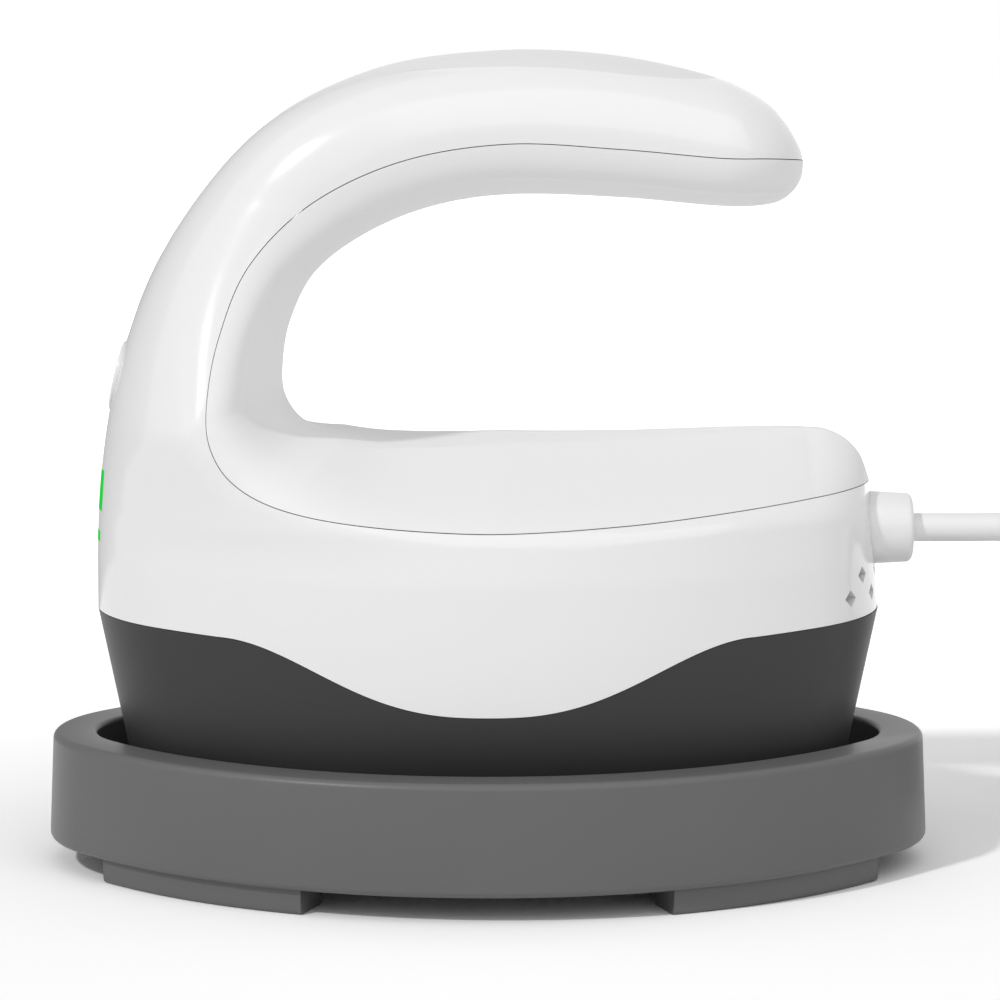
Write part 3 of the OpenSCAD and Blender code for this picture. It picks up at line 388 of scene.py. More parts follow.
# ---------------------------------------------------------------- white shells
# The press body is two mouldings in glossy and in matte white that meet along one seam:
# the outer shell wraps the back of the handle and the sides, the inner one the grip side.
# Side view of the body in the mid-plane, from the handle's tip round to the lead end, in
# millimetres: middle of the inner face, seam and outer face, each as x and height.
SIDE_VIEW = np.array([
    (52.2, 117.4, 52.2, 117.4, 52.2, 117.4), (51.7, 114.3, 51.6, 117.9, 51.4, 120.2),
    (49.4, 111.6, 49.0, 118.2, 48.8, 124.4), (45.6, 110.3, 45.0, 118.4, 44.8, 128.0),
    (38.0, 110.2, 37.0, 118.6, 36.5, 131.7), (22.0, 111.6, 21.0, 120.0, 20.0, 135.1),
    (4.0, 112.1, 3.0, 120.8, 1.5, 135.8), (-9.0, 110.2, -14.0, 118.0, -19.0, 132.7),
    (-20.0, 105.8, -28.5, 111.2, -38.0, 122.7), (-28.5, 99.5, -38.5, 101.3, -53.0, 104.4),
    (-32.8, 91.5, -43.2, 90.0, -60.6, 86.6), (-34.2, 84.0, -44.9, 80.0, -64.1, 68.0),
    (-33.8, 78.6, -44.3, 73.0, -65.3, 51.0), (-30.5, 74.2, -40.6, 67.4, -65.4, 41.4),
    (-24.5, 72.0, -33.0, 63.6, -54.0, 41.4), (-14.5, 70.3, -20.0, 61.3, -33.0, 41.4),
    (2.0, 70.0, 0.0, 60.2, -4.0, 41.4), (22.0, 70.8, 22.0, 61.0, 22.0, 41.4),
    (40.0, 72.2, 40.0, 62.4, 40.0, 41.4), (53.0, 73.3, 53.0, 63.6, 53.0, 41.4),
    (58.4, 72.2, 59.4, 64.2, 60.0, 41.4), (61.9, 69.2, 62.4, 64.4, 63.8, 41.4),
    (63.8, 64.5, 63.8, 64.5, 65.4, 41.4),
])
LAST, CORNER_ROW = len(SIDE_VIEW) - 1, 13
BODY = (65.4, 39.0, 27.0)
TIP_X, HANDLE_HALF, SHELL_WALL, SEAM = 52.2, 15.5, 2.2, 0.14


def wave_z(x):
    """Height of the outer shell's lower edge: a trough that rises a little to the ends."""
    share = min(1.0, abs(x) / 43) ** 1.3
    return 42.5 - 11.3 * (1 + math.cos(math.pi * share)) / 2 + 0.045 * max(0.0, abs(x) - 43)


def through(u):
    """The side view at row u, between its rows on a smooth curve."""
    i = max(0, min(LAST - 1, int(u)))
    f = u - i
    a, b, c, d = (SIDE_VIEW[max(0, min(LAST, k))] for k in (i - 1, i, i + 1, i + 2))
    return (2 * b + (c - a) * f + (2 * a - 5 * b + 4 * c - d) * f**2
            + (3 * b - a - 3 * c + d) * f**3) / 2


def curve(pairs):
    """A named share of the form, set at some rows or heights and eased between them."""
    xs, ys = zip(*pairs)
    return lambda u: float(np.interp(u, xs, ys))


def rise(d, r, p, q):
    """Rounding from 0 at the edge to 1 at a distance r from it, on powers p and q."""
    k = max(0.0, min(1.0, d / r)) if r > 0 else 1.0
    return (1 - (1 - k) ** p) ** (1 / q)


crown = curve([(0, 0), (3, 2.2), (6, 3), (9, 4.6), (11.5, 5.4), (13, 2.6), (14, 0.2), (15, -1.2),
               (16, -1.8), (18, -0.9), (19, 0), (LAST, 0)])
face_half = curve([(0, 0), (1, 2.2), (2, 6), (3, 9), (4, 11), (6, 11.5), (8, 13), (10, 17),
                   (11.5, 20), (13, 19.5), (14, 18), (15, 13.2), (16, 10.2), (17, 6.6),
                   (18, 3.2), (19, 1.2), (21, 1.2), (LAST, 0)])
face_bend = curve([(0, 1.6), (12, 1.7), (14, 1.1), (LAST, 1)])
flank_len = curve([(0, 3), (2, 5), (4, 7), (9, 9), (12, 12), (14, 13), (LAST, 13.4)])
flank_p = curve([(0, 2), (12, 2), (15, 1.6), (LAST, 1.6)])
flank_q = curve([(0, 2), (11, 2), (15, 1.05), (19, 1.05), (21, 1.8), (LAST, 2)])
width_share = curve([(41, 1), (52, 0.995), (60, 0.965), (70, 0.87), (80, 0.755), (90, 0.645),
                     (100, 0.55), (112, 0.45), (136, 0.4)])
nose_round = curve([(50, 65.4), (62, 48), (75, 32), (90, 24), (110, 18)])


def oval_half_width(x):
    """Half the body's width in plan at x."""
    length, width, end_r = BODY
    c = length - end_r
    side_r = (c * c + width * width - end_r * end_r) / (2 * (width - end_r))
    joint_x = c + end_r * math.cos(math.atan2(side_r - width, c))
    x = min(abs(x), length)
    if x > joint_x:
        return math.sqrt(max(0.0, end_r**2 - (x - c) ** 2))
    return math.sqrt(side_r**2 - x * x) - side_r + width


def lower_half(x, z):
    """Half the width of the body under the handle, with its round front and lead end."""
    front = x + 65.4 - 16.5 * (max(0.0, z - 46) / 65.2) ** 2.6
    lead_x = (65.4 - 1.6 * (z - 41.4) / 23.1 if z < 64.5
              else 53.6 + 10.2 * math.sqrt(max(0.0, 1 - ((z - 64.5) / 9.2) ** 2)))
    plan = [oval_half_width(65.4 - max(-1.0, min(d, 65.4))) for d in (front, lead_x - x)]
    up = ease((z - 50) / 26)
    nose = 39 * rise(front, nose_round(z), 2, 2)
    return width_share(z) * min(plan[0] * (1 - up) + nose * up, plan[1] if lead_x > x else 0.0)


def half_width(u, p, in_d, out_d, span):
    """Half the body's width at a point of the side view."""
    handle = 0.0
    if span > 0:
        round_r = min(14.0, 0.56 * span)
        handle = HANDLE_HALF * rise(out_d, round_r, 2, 2) * rise(TIP_X - p[0], 14.0, 2, 2)
    h = 1 - ease((u - 6.5) / 5)
    side = handle if h > 0.999 else lower_half(*p) * (1 - h) + handle * h
    face = min(face_half(u), side)
    return face + (side - face) * rise(in_d, flank_len(u), flank_p(u), flank_q(u))


def norm(v):
    """Length of a step in the side view."""
    return float(np.hypot(v[0], v[1]))


def inner_section(u, face_steps, flank_steps):
    """The grip side at row u, from the middle to the seam."""
    s = through(u)
    in_p, seam, out_p = s[0:2], s[2:4], s[4:6]
    room = norm(seam - in_p)
    way = (seam - in_p) / max(room, 1e-9)
    edge = in_p + way * min(crown(u), 0.5 * room)
    reach = max(0.0, norm(seam - edge) - SEAM / 2)
    span = norm(out_p - in_p)
    line = []
    wide = half_width(u, edge, 0, norm(out_p - seam) + reach, span)
    for k in range(face_steps):
        f = k / face_steps
        p = in_p + (edge - in_p) * f ** face_bend(u)
        line.append((p[0], f * wide, p[1]))
    for k in range(flank_steps + 1):
        d = reach * (k / flank_steps) ** 1.5
        p = edge + way * d
        line.append((p[0], half_width(u, p, d, norm(out_p - seam) + norm(seam - p), span), p[1]))
    return line


def outer_section(u, steps):
    """The outer shell at row u, from the seam to its outer face or lower edge."""
    s = through(u)
    in_p, seam, out_p = s[0:2], s[2:4], s[4:6].copy()
    if u <= CORNER_ROW:
        out_p = np.array((max(out_p[0], -65.4), max(out_p[1], wave_z(65.4))))
    else:
        out_p[1] = wave_z(out_p[0])
    length = norm(out_p - seam)
    way = (out_p - seam) / max(length, 1e-9)
    start = seam + way * min(SEAM / 2, length)
    even = ease((u - CORNER_ROW) / 0.8)
    line = []
    for k in range(steps + 1):
        f = k / steps
        t = f + (math.sin(math.pi / 2 * f) - f) * 0.97 * (1 - even)
        p = start + (out_p - start) * t
        closed = u == LAST or (u <= CORNER_ROW and k == steps)
        from_edge = norm(p - seam) + norm(seam - in_p) - crown(u)
        wide = 0.0 if closed else half_width(u, p, from_edge, norm(out_p - p), norm(out_p - in_p))
        line.append((p[0], wide, p[1]))
    return line


def stations(step):
    """Row numbers, closer together at the tip, the corner and the lead end."""
    tip = [3.5 * (k / 40) ** 2 for k in range(40)]
    column = list(np.arange(3.5, 13, step))
    corner = [13 + 0.9 * (k / 16) ** 1.6 for k in range(16)]
    deck = list(np.arange(13.9, 19, step / 2))
    end = [19 + 3 * math.sin(math.pi / 2 * k / 40) for k in range(41)]
    return [float(u) for u in tip + column + corner + deck + end[:-1]] + [LAST]


def seam_normals(line):
    """Direction that both shells' edges take along the seam, square to it."""
    normals = []
    for i, point in enumerate(line):
        k = min(max(i, 1), len(line) - 2)
        s = through(ROWS[k])
        turn = np.cross(line[k + 1] - line[k - 1], (s[4] - s[0], 0, s[5] - s[1]))
        if abs(point[1]) < 1e-5:
            turn[1] = 0
        normals.append(turn / max(np.linalg.norm(turn), 1e-12))
    return np.array(normals)


def edge_outward(outward, column, way):
    """Turns the outward directions of one column to the seam's, but for points without one."""
    outward[:, column] = way * np.linalg.norm(outward[:, column], axis=1)[:, None]


def skin_normals(g):
    """Outward direction at each point of a grid of points; in the mid-plane it stays in it."""
    inner_rows = np.clip(np.arange(len(g)), 1, len(g) - 2)
    n_col = g.shape[1]
    along = g[inner_rows + 1] - g[inner_rows - 1]
    ahead = np.clip(np.arange(n_col) + 1, 0, n_col - 1)
    behind = np.clip(np.arange(n_col) - 1, 0, n_col - 1)
    across = (g[:, ahead] - g[:, behind])[inner_rows]
    n = np.cross(along, across)
    n[np.abs(g[..., 1]) < 1e-5, 1] = 0
    return n / np.maximum(np.linalg.norm(n, axis=2), 1e-12)[..., None]


def grid_faces(rows, cols, start=0):
    """Faces of a grid of points."""
    return [(start + i * cols + j, start + i * cols + j + 1,
             start + (i + 1) * cols + j + 1, start + (i + 1) * cols + j)
            for i in range(rows - 1) for j in range(cols - 1)]


def strip(rows, cols, j, gap, start=0, first=0):
    """Faces that join column j of one skin to the same column of the skin gap points on."""
    return [(start + i * cols + j, start + (i + 1) * cols + j,
             start + (i + 1) * cols + j + gap, start + i * cols + j + gap)
            for i in range(first, rows - 1)]


ROWS = stations(0.06)
gloss_white = moulded("gloss_white", (0.87, 0.87, 0.87), 0.16, grain=0.0012, depth=0.000002,
                      patch=0.05, spread=0.006, Coat_Weight=0.35, Coat_Roughness=0.06)
matte_white = moulded("matte_white", (0.86, 0.86, 0.86), 0.5, grain=0.00035, depth=0.00001,
                      patch=0.04, spread=0.01)

far = np.array([outer_section(u, 28) for u in ROWS]) * MM
mirror = np.array((1, -1, 1))
seam_way = seam_normals(far[:, 0])
half = [inner_section(u, 10, 24) for u in ROWS]
grid = np.array([[(x, -y, z) for x, y, z in reversed(line[1:])] + line for line in half]) * MM
outward = skin_normals(grid)
edge_outward(outward, -1, seam_way)
edge_outward(outward, 0, seam_way * mirror)
inside = grid - SHELL_WALL * MM * outward
n_rows, n_cols = grid.shape[:2]
n = n_rows * n_cols
faces = (grid_faces(n_rows, n_cols) + grid_faces(n_rows, n_cols, n)
         + strip(n_rows, n_cols, 0, n) + strip(n_rows, n_cols, n_cols - 1, n))
grip = new_piece("grip_shell", np.concatenate([grid.reshape(-1, 3), inside.reshape(-1, 3)]),
                 faces, matte_white, 50)
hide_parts("inner_shell")
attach(grip, "press")

outward = skin_normals(far)
edge_outward(outward, 0, seam_way)
far_in = far - SHELL_WALL * MM * outward
n_rows, n_cols = far.shape[:2]
n = n_rows * n_cols
open_from = next(i for i, u in enumerate(ROWS) if u >= CORNER_ROW)
faces = sum((grid_faces(n_rows, n_cols, k * n) for k in range(4)), [])
for start in (0, 2 * n):
    faces += strip(n_rows, n_cols, 0, n, start)
    faces += strip(n_rows, n_cols, n_cols - 1, n, start, open_from)
skins = [g.reshape(-1, 3) for g in (far, far_in, far * mirror, far_in * mirror)]
shell = new_piece("outer_casing", np.concatenate(skins), faces, gloss_white, 35)

# ---------------------------------------------------------------- openings of the outer shell
# Cut through the moulding before it is assembled: the recess of the top panel, the vents,
# and the holes for the lead's collar, the button and the two light windows. The windows'
# clear lenses take their form from the front face before it is cut.
# The panel is widest at one row of the side view, round before it and pointed after it
PANEL_WIDEST, PANEL_TIP, PANEL_TAIL, PANEL_HALF = 5, 1.1, 3.55, 9.5
PANEL_ROWS = [3.9 + PANEL_TIP * (1 - math.cos(math.pi / 2 * k / 16)) for k in range(16)]
PANEL_ROWS += [PANEL_WIDEST + PANEL_TAIL * k / 60 for k in range(60)] + [8.55]
FRONT_ROWS = [through(12.6 - i / 20) for i in range(93)]
OUTER_LINE = sorted((s[5], max(s[4], -BODY[0])) for s in FRONT_ROWS)


def front(z):
    """x of the front face in the mid-plane, at a height."""
    return float(np.interp(z, *zip(*OUTER_LINE)))


BUTTON_Z = 82.0
BUTTON_TILT = math.atan2(front(BUTTON_Z + 8) - front(BUTTON_Z - 8), 16)


def panel_grid(extra, depth, columns=24):
    """Skin of the panel, grown sideways by extra and sunk by depth."""
    rows = []
    for i, u in enumerate(PANEL_ROWS):
        end = i in (0, len(PANEL_ROWS) - 1)
        if end and extra > 0:
            u += -0.02 if i == 0 else 0.03
        s = through(u)
        out_p = s[4:6]
        way = (s[2:4] - out_p) / norm(s[2:4] - out_p)
        share = (math.sqrt(max(0.0, 1 - ((PANEL_WIDEST - u) / PANEL_TIP) ** 2)) if u < PANEL_WIDEST
                 else 1 - ((u - PANEL_WIDEST) / PANEL_TAIL) ** 2.2)
        wide = 0.0 if end else PANEL_HALF * max(0.0, share) + extra
        row = []
        for k in range(columns + 1):
            y = wide * (1 - 2 * k / columns)
            sink = 14 * (1 - math.sqrt(1 - (y / HANDLE_HALF) ** 2)) + depth
            p = out_p + way * sink
            row.append((p[0], y, p[1]))
        rows.append(row)
    return np.array(rows) * MM


def panel_block(extra, top, bottom):
    """Verts and faces of a slab that follows the handle's back."""
    upper, lower = panel_grid(extra, top), panel_grid(extra, bottom)
    rows, cols = upper.shape[:2]
    count = rows * cols
    return (np.concatenate([upper.reshape(-1, 3), lower.reshape(-1, 3)]),
            grid_faces(rows, cols) + grid_faces(rows, cols, count)
            + strip(rows, cols, 0, count) + strip(rows, cols, cols - 1, count))


def prism(outline, start, end, place):
    """Verts and faces of an outline (y, z) carried along x, then put in its place."""
    verts = [place @ Vector((x, y, z)) for x in (start, end) for y, z in outline]
    count = len(outline)
    sides = [(k, (k + 1) % count, count + (k + 1) % count, count + k) for k in range(count)]
    return [v * MM for v in verts], [*sides, range(count - 1, -1, -1), range(count, 2 * count)]


def ring(d, sides=64):
    """Outline of a round hole."""
    return [(d / 2 * math.cos(2 * math.pi * k / sides), d / 2 * math.sin(2 * math.pi * k / sides))
            for k in range(sides)]


PANEL_GAP, COLLAR_HOLE, BUTTON_HOLE = 0.2, 12.6, 12.2
button_place = (Matrix.Translation((front(BUTTON_Z), 0, BUTTON_Z))
                @ Matrix.Rotation(BUTTON_TILT, 4, "Y"))
cutters = [panel_block(PANEL_GAP, -2, 1.2)]
cutters.append(prism(ring(COLLAR_HOLE), 57, 70, Matrix.Translation((0, 0, CORD_Z))))
cutters.append(prism(ring(BUTTON_HOLE), -4, 5, button_place))
# Height, tallness and half width of each light window
LIGHTS = {"light_window": (63.5, 6.7, 7.8), "light_dot": (55.8, 1.8, 6.9)}
for height, tall, wide in LIGHTS.values():
    box = [(-wide, -tall / 2), (wide, -tall / 2), (wide, tall / 2), (-wide, tall / 2)]
    cutters.append(prism(box, -70, -60, Matrix.Translation((0, 0, height))))


def front_lens(height, tall, wide, rows=9, cols=33, proud=0.06, thick=1.0):
    """Verts and faces of a clear window that follows the front of the uncut shell."""
    front_skin, back_skin = [], []
    for i in range(rows):
        for k in range(cols):
            across, up = 2 * k / (cols - 1) - 1, i / (rows - 1) - 0.5
            start = Vector((-80, wide * across, height + tall * up)) * MM
            _, place, _, _ = shell.ray_cast(start, (1, 0, 0))
            front_skin.append(place - Vector((proud * MM, 0, 0)))
            back_skin.append(place + Vector((thick * MM, 0, 0)))
    gap = rows * cols
    faces = (grid_faces(rows, cols) + grid_faces(rows, cols, gap)
             + strip(rows, cols, 0, gap) + strip(rows, cols, cols - 1, gap))
    for first in (0, gap - cols):
        faces += [(k, k + 1, k + gap + 1, k + gap) for k in range(first, first + cols - 1)]
    return front_skin + back_skin, faces


bpy.context.view_layer.update()
lenses = {name: front_lens(height, tall - 0.1, wide - 0.05)
          for name, (height, tall, wide) in LIGHTS.items()}
cutter = new_piece("casing_cutter", *joined(cutters), gloss_white)


def vent_tree():
    """Diamond cutters stood round the lead end of the body, at even steps of angle."""
    tree = bpy.data.node_groups.new("vent_row", "GeometryNodeTree")
    tree.interface.new_socket("Geometry", in_out="OUTPUT", socket_type="NodeSocketGeometry")
    for label, kind, value in (("Count", "Int", 5), ("Step", "Float", math.radians(19)),
                               ("Height", "Float", 0.0468), ("Width", "Float", 0.0032),
                               ("Tall", "Float", 0.0029), ("Body End", "Float", 0.0384),
                               ("Reach", "Float", 0.026), ("Depth", "Float", 0.010)):
        socket = tree.interface.new_socket(label, in_out="INPUT", socket_type="NodeSocket" + kind)
        socket.default_value = value
    vents = Nodes(tree)
    given = tree.nodes.new("NodeGroupInput")
    size = {socket.name: Number(vents, socket) for socket in given.outputs}
    centre = vents.add("ShaderNodeCombineXYZ", None, {0: size["Body End"], 2: size["Height"]})
    points = vents.add("GeometryNodePoints", None, {"Count": size["Count"], "Position": centre})
    turn = (vents.add("GeometryNodeInputIndex") - (size["Count"] - 1) * 0.5) * size["Step"]
    diamond = vents.add("GeometryNodeMeshCylinder", None,
                        {"Vertices": 4, "Radius": 1.0, "Depth": size["Depth"]})
    shape = vents.add("ShaderNodeCombineXYZ", None,
                      {0: size["Tall"] * 0.5, 1: size["Width"] * 0.5, 2: 1.0})
    diamond = vents.add("GeometryNodeTransform", None, {"Geometry": diamond, "Scale": shape})
    reach = vents.add("ShaderNodeCombineXYZ", None, {0: size["Reach"]})
    quarter_turn = (0, math.radians(90), 0)
    diamond = vents.add("GeometryNodeTransform", None,
                        {"Geometry": diamond, "Rotation": quarter_turn, "Translation": reach})
    spin = vents.add("ShaderNodeCombineXYZ", None, {2: turn})
    row = vents.add("GeometryNodeInstanceOnPoints", None,
                    {"Points": points, "Instance": diamond, "Rotation": spin})
    row = vents.add("GeometryNodeRealizeInstances", None, {0: row})
    row = vents.add("GeometryNodeSetMaterial", None, {"Geometry": row, "Material": gloss_white})
    vents.add("NodeGroupOutput", None, {0: row})
    return tree


def settled(host):
    """Puts what an object's modifiers make in place of its own mesh, and takes them off."""
    bpy.context.view_layer.update()
    depsgraph = bpy.context.evaluated_depsgraph_get()
    mesh = bpy.data.meshes.new_from_object(host.evaluated_get(depsgraph))
    host.modifiers.clear()
    host.data = mesh
    return host


def grown(name, tree, values):
    """The mesh that a geometry node tree makes with these inputs, as a plain object."""
    host = bpy.data.objects.new(name, bpy.data.meshes.new(name))
    scene.collection.objects.link(host)
    modifier = host.modifiers.new("nodes", "NODES")
    modifier.node_group = tree
    named = {item.name: item.identifier
             for item in tree.interface.items_tree if item.in_out == "INPUT"}
    for label, value in values.items():
        modifier[named[label]] = value
    return settled(host)


vents = vent_tree()
vent_rows = [grown("vent_row_low", vents, {"Count": 5, "Height": 0.0468}),
             grown("vent_row_high", vents, {"Count": 4, "Height": 0.0502})]
for piece in [cutter, *vent_rows]:
    cut = shell.modifiers.new("cut", "BOOLEAN")
    cut.solver = "EXACT"
    cut.operation = "DIFFERENCE"
    cut.object = piece
settled(shell)
shell.data.shade_smooth()
shell.data.set_sharp_from_angle(angle=math.radians(35))
for piece in [cutter, *vent_rows]:
    bpy.data.objects.remove(piece)
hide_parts("outer_shell")
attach(shell, "press")

# ---------------------------------------------------------------- top panel
# Thin satin panel let flush into the handle's back: round over the fingertips, running to
# a point above the button.
panel_white = moulded("satin_panel", (0.79, 0.79, 0.79), 0.34, grain=0.0003, depth=0.000006,
                      spread=0.006)
panel = new_piece("top_panel", *panel_block(0, 0, 1.1), panel_white, 40)
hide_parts("handle_panel")
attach(panel, "press")

# ---------------------------------------------------------------- skirt
# Dark grey heat-proof moulding between the white shell and the hot plate: it narrows
# downwards, and its upper edge rises and dips with the shell's wave.
skirt_grey = moulded("skirt_grey", (0.041, 0.041, 0.042), 0.42, grain=0.0004, depth=0.00001,
                     spread=0.05, Specular_IOR_Level=0.3)

skirt_verts, skirt_faces = [], []
SKIRT_STEPS, SKIRT_GAP = 240, 0.12
SKIRT_Z, LIP_OUT, LIP_IN, LIP_H = 14, 2.55, 3.95, 3.3
for i in range(SKIRT_STEPS):
    angle = 2 * math.pi * i / SKIRT_STEPS
    out = np.array((math.cos(angle), math.sin(angle)))
    top, low = np.array(oval_point(BODY, angle)), np.array(oval_point(SKIRT_FOOT, angle))
    z = wave_z(top[0]) - SKIRT_GAP
    lip, back = top - LIP_OUT * out, top - LIP_IN * out
    profile = [(low, SKIRT_Z), (top, z), (lip, z), (lip, z + LIP_H),
               (back, z + LIP_H), (back, z), (low - 2.5 * out, SKIRT_Z)]
    skirt_verts += [(p[0] * MM, p[1] * MM, h * MM) for p, h in profile]
for i in range(SKIRT_STEPS):
    for k in range(7):
        a, b = i * 7 + k, i * 7 + (k + 1) % 7
        c, d = (i + 1) % SKIRT_STEPS * 7 + (k + 1) % 7, (i + 1) % SKIRT_STEPS * 7 + k
        skirt_faces.append((a, b, c, d))
web = oval_sweep(tuple(s + 0.4 for s in SKIRT_FOOT), [(0, 24), (0, 26)], caps=False)
skirt = new_piece("skirt_moulding", *joined([(skirt_verts, skirt_faces), web]), skirt_grey, 40)
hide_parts("skirt")
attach(skirt, "press")

# ---------------------------------------------------------------- hot plate and its stack
# Pressed aluminium plate, a flat element clamped on its back, and a felt pad that
# keeps the heat out of the shells.
dress(metal("plate_alloy", (0.74, 0.74, 0.75), 0.34, (1, 0.1, 1)), "heat_plate")
dress(metal("element_sheath", (0.5, 0.48, 0.45), 0.42), "heating_element")
dress(metal("zinc_steel", (0.6, 0.6, 0.62), 0.36), "element_clamp", "thermal_fuse", "plate_screws",
      "board_screws", "casing_screws", "clamp_screws")
felt = Finish("fibre_felt", Roughness=0.95)
fibres = felt.noise(0.0009, 6.0, (1, 1, 3))
felt.colour(fibres, (0.72, 0.7, 0.64), (0.9, 0.88, 0.84))
felt.bump(fibres, 0.0003)
dress(felt.material, "insulation_pad")
dress(moulded("sensor_bead", (0.42, 0.2, 0.08), 0.3), "thermistor")

# ---------------------------------------------------------------- boards and wiring
# Two small printed boards in green lacquer, with a relay, a capacitor and a terminal
# block on the lower one, joined by thin insulated wires.
lacquer = Finish("board_lacquer", Coat_Weight=0.4)
weave = lacquer.noise(0.0005, 2.0, (1, 6, 1))
lacquer.colour(weave, (0.02, 0.16, 0.06), (0.04, 0.24, 0.09))
lacquer.rough(weave * 0.1 + 0.3)
lacquer.bump(weave, 0.00001)
dress(lacquer.material, "power_board", "control_board")
dress(moulded("black_part", (0.03, 0.03, 0.03), 0.45),
      "relay", "switch_body", "switch_plunger", "cord_clamp")
dress(moulded("can_blue", (0.03, 0.05, 0.16), 0.3), "capacitor")
dress(moulded("block_green", (0.04, 0.3, 0.1), 0.45), "terminal_block")
dress(moulded("wire_white", (0.75, 0.75, 0.72), 0.4),
      "heater_wires", "supply_wires", "signal_wires")

# ---------------------------------------------------------------- button and lights
# Round, slightly domed push button of glossy white plastic in the front face, and below it
# two green light windows that the board's lamps shine through.
button_white = moulded("button_white", (0.82, 0.82, 0.82), 0.2, Coat_Weight=0.3)
BUTTON_R, BUTTON_DEEP, BUTTON_EDGE, EDGE_ROUND = 5.95, 3.4, 0.2, 0.4
DOME_R, DOME_H = 5.5, 0.3
profile = [(BUTTON_DEEP, BUTTON_R), (BUTTON_EDGE, BUTTON_R)]
for t in np.linspace(0.2, 1.5, 6):
    profile.append((BUTTON_EDGE - EDGE_ROUND * math.sin(t),
                    BUTTON_R - EDGE_ROUND * (1 - math.cos(t))))
for r in (4.6, 3.6, 2.4, 1.2, 0.3):
    bulge = DOME_H * math.cos(math.pi / 2 * r / DOME_R)
    profile.append((BUTTON_EDGE - EDGE_ROUND - bulge, r))
CAP_SIDES = 72
cap = [button_place @ Vector((x, r * math.cos(2 * math.pi * k / CAP_SIDES),
                              r * math.sin(2 * math.pi * k / CAP_SIDES))) * MM
       for x, r in profile for k in range(CAP_SIDES)]
cap_faces = [range(CAP_SIDES), range(len(cap) - CAP_SIDES, len(cap))]
for i in range(len(profile) - 1):
    for k in range(CAP_SIDES):
        a, b = i * CAP_SIDES + k, i * CAP_SIDES + (k + 1) % CAP_SIDES
        cap_faces.append((a, b, b + CAP_SIDES, a + CAP_SIDES))
button = new_piece("button_cap", cap, cap_faces, button_white, 50)
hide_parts("power_button")
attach(button, "button")
green = Finish("green_window", Emission_Strength=0.12, IOR=1.0)
glow = green.noise(0.004)
green.colour(glow, (0.025, 0.58, 0.06), (0.03, 0.66, 0.08))
green.rough(glow * 0.1 + 0.2)
green.shader.inputs["Emission Color"].default_value = (0.02, 1.0, 0.08, 1)
for name, lens in lenses.items():
    window = new_piece("lens_" + name, *lens, green.material)
    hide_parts(name)
    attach(window, "press")

# ---------------------------------------------------------------- collar
# White bush that grips the lead where it leaves the body; it sits in the shell's hole with
# a flange inside.
dress(moulded("collar_white", (0.83, 0.83, 0.83), 0.28), "strain_relief")

# ---------------------------------------------------------------- floor and light
# A plain white table that pales into white surroundings; a sun from the front left that
# casts the shadow to the back right, and two soft panels that draw bands in the gloss.
SKY, TABLE_SEEN, TABLE_FAR = 0.385, 1.2, 2.6
floor_mesh = bpy.data.meshes.new("floor")
floor_mesh.from_pydata([(-6, -6, 0), (6, -6, 0), (6, 6, 0), (-6, 6, 0)], [], [(0, 1, 2, 3)])
floor = bpy.data.objects.new("floor", floor_mesh)
scene.collection.objects.link(floor)


def looked_at(nodes):
    """1 on rays from the camera, in gloss and through clear pieces, else 0."""
    rays = nodes.tree.nodes.new("ShaderNodeLightPath")
    camera_ray, glossy, through_ray = (
        Number(nodes, rays.outputs[f"Is {kind} Ray"])
        for kind in ("Camera", "Glossy", "Transmission"))
    return camera_ray.math("ADD", camera_ray + glossy, through_ray, clamp=True)


table = bpy.data.materials.new("table_white")
table.use_nodes = True
table.node_tree.nodes.clear()
top = Nodes(table.node_tree)
lit = top.add("ShaderNodeBsdfDiffuse", None, {"Color": (0.9, 0.9, 0.9, 1)})
seen = top.add("ShaderNodeBsdfDiffuse", None, {"Color": (TABLE_SEEN, TABLE_SEEN, TABLE_SEEN, 1)})
away = top.add("ShaderNodeBsdfDiffuse", None, {"Color": (TABLE_FAR, TABLE_FAR, TABLE_FAR, 1)})
away_y = top.add("ShaderNodeSeparateXYZ", None,
                 {"Vector": top.add("ShaderNodeTexCoord", out="Object")}, out=1)
seen = top.add("ShaderNodeMixShader", None, {0: away_y.ramp(0.0, 1.0), 1: seen, 2: away})
top.add("ShaderNodeOutputMaterial", None,
        {"Surface": top.add("ShaderNodeMixShader", None, {0: looked_at(top), 1: lit, 2: seen})})
floor_mesh.materials.append(table)

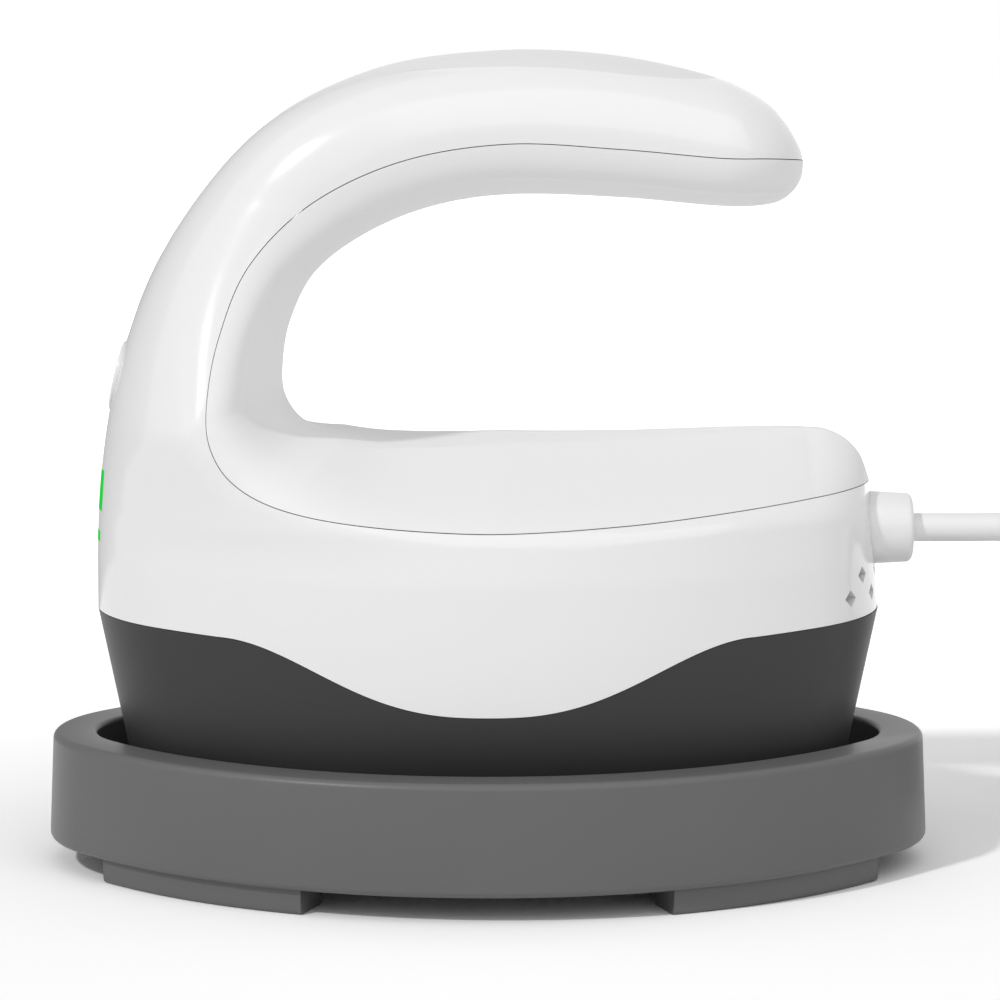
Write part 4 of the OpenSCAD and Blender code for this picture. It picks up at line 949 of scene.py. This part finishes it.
# A grey card behind on the left that shows in gloss alone: it draws the white body's left
# outline against the white surroundings.
card_mesh = bpy.data.meshes.new("grey_card")
card_mesh.from_pydata([(-1.3, 0.25, 0), (-0.095, 0.25, 0), (-0.095, 0.25, 1), (-1.3, 0.25, 1)],
                      [], [(0, 1, 2, 3)])
card = bpy.data.objects.new("grey_card", card_mesh)
scene.collection.objects.link(card)
card.visible_camera = card.visible_diffuse = card.visible_transmission = card.visible_shadow = False
grey = bpy.data.materials.new("card_grey")
grey.use_nodes = True
grey.node_tree.nodes.clear()
card_tree = Nodes(grey.node_tree)
even_grey = card_tree.add("ShaderNodeEmission", None, {"Color": (0.45, 0.45, 0.45, 1)})
card_tree.add("ShaderNodeOutputMaterial", None, {"Surface": even_grey})
card_mesh.materials.append(grey)

world = bpy.data.worlds.new("surroundings")
scene.world = world
world.use_nodes = True
world.node_tree.nodes.clear()
sky = Nodes(world.node_tree)
soft = sky.add("ShaderNodeBackground", None, {"Color": (1, 1, 1, 1), "Strength": SKY})
white = sky.add("ShaderNodeBackground", None, {"Color": (1, 1, 1, 1), "Strength": 1.0})
sky.add("ShaderNodeOutputWorld", None,
        {"Surface": sky.add("ShaderNodeMixShader", None, {0: looked_at(sky), 1: soft, 2: white})})


def lamp(name, kind, energy, place, aim, size=None, angle=None):
    """A lamp at a place, turned to a point."""
    data = bpy.data.lights.new(name, kind)
    data.energy = energy
    if size:
        data.size = size
    if angle:
        data.angle = math.radians(angle)
    made = bpy.data.objects.new(name, data)
    made.location = place
    made.rotation_mode = "QUATERNION"
    made.rotation_quaternion = (Vector(aim) - Vector(place)).to_track_quat("-Z", "Y")
    scene.collection.objects.link(made)
    return made


lamp("key", "SUN", 1.15, (-0.72, -0.72, 0.95), (0, 0, 0), angle=4)
lamp("left_soft", "AREA", 0.12, (-0.75, -0.35, 0.35), (0, 0, 0.07), size=0.35)
lamp("front_soft", "AREA", 5.2, (0.35, -0.85, 0.95), (0, 0, 0.07), size=1.4)
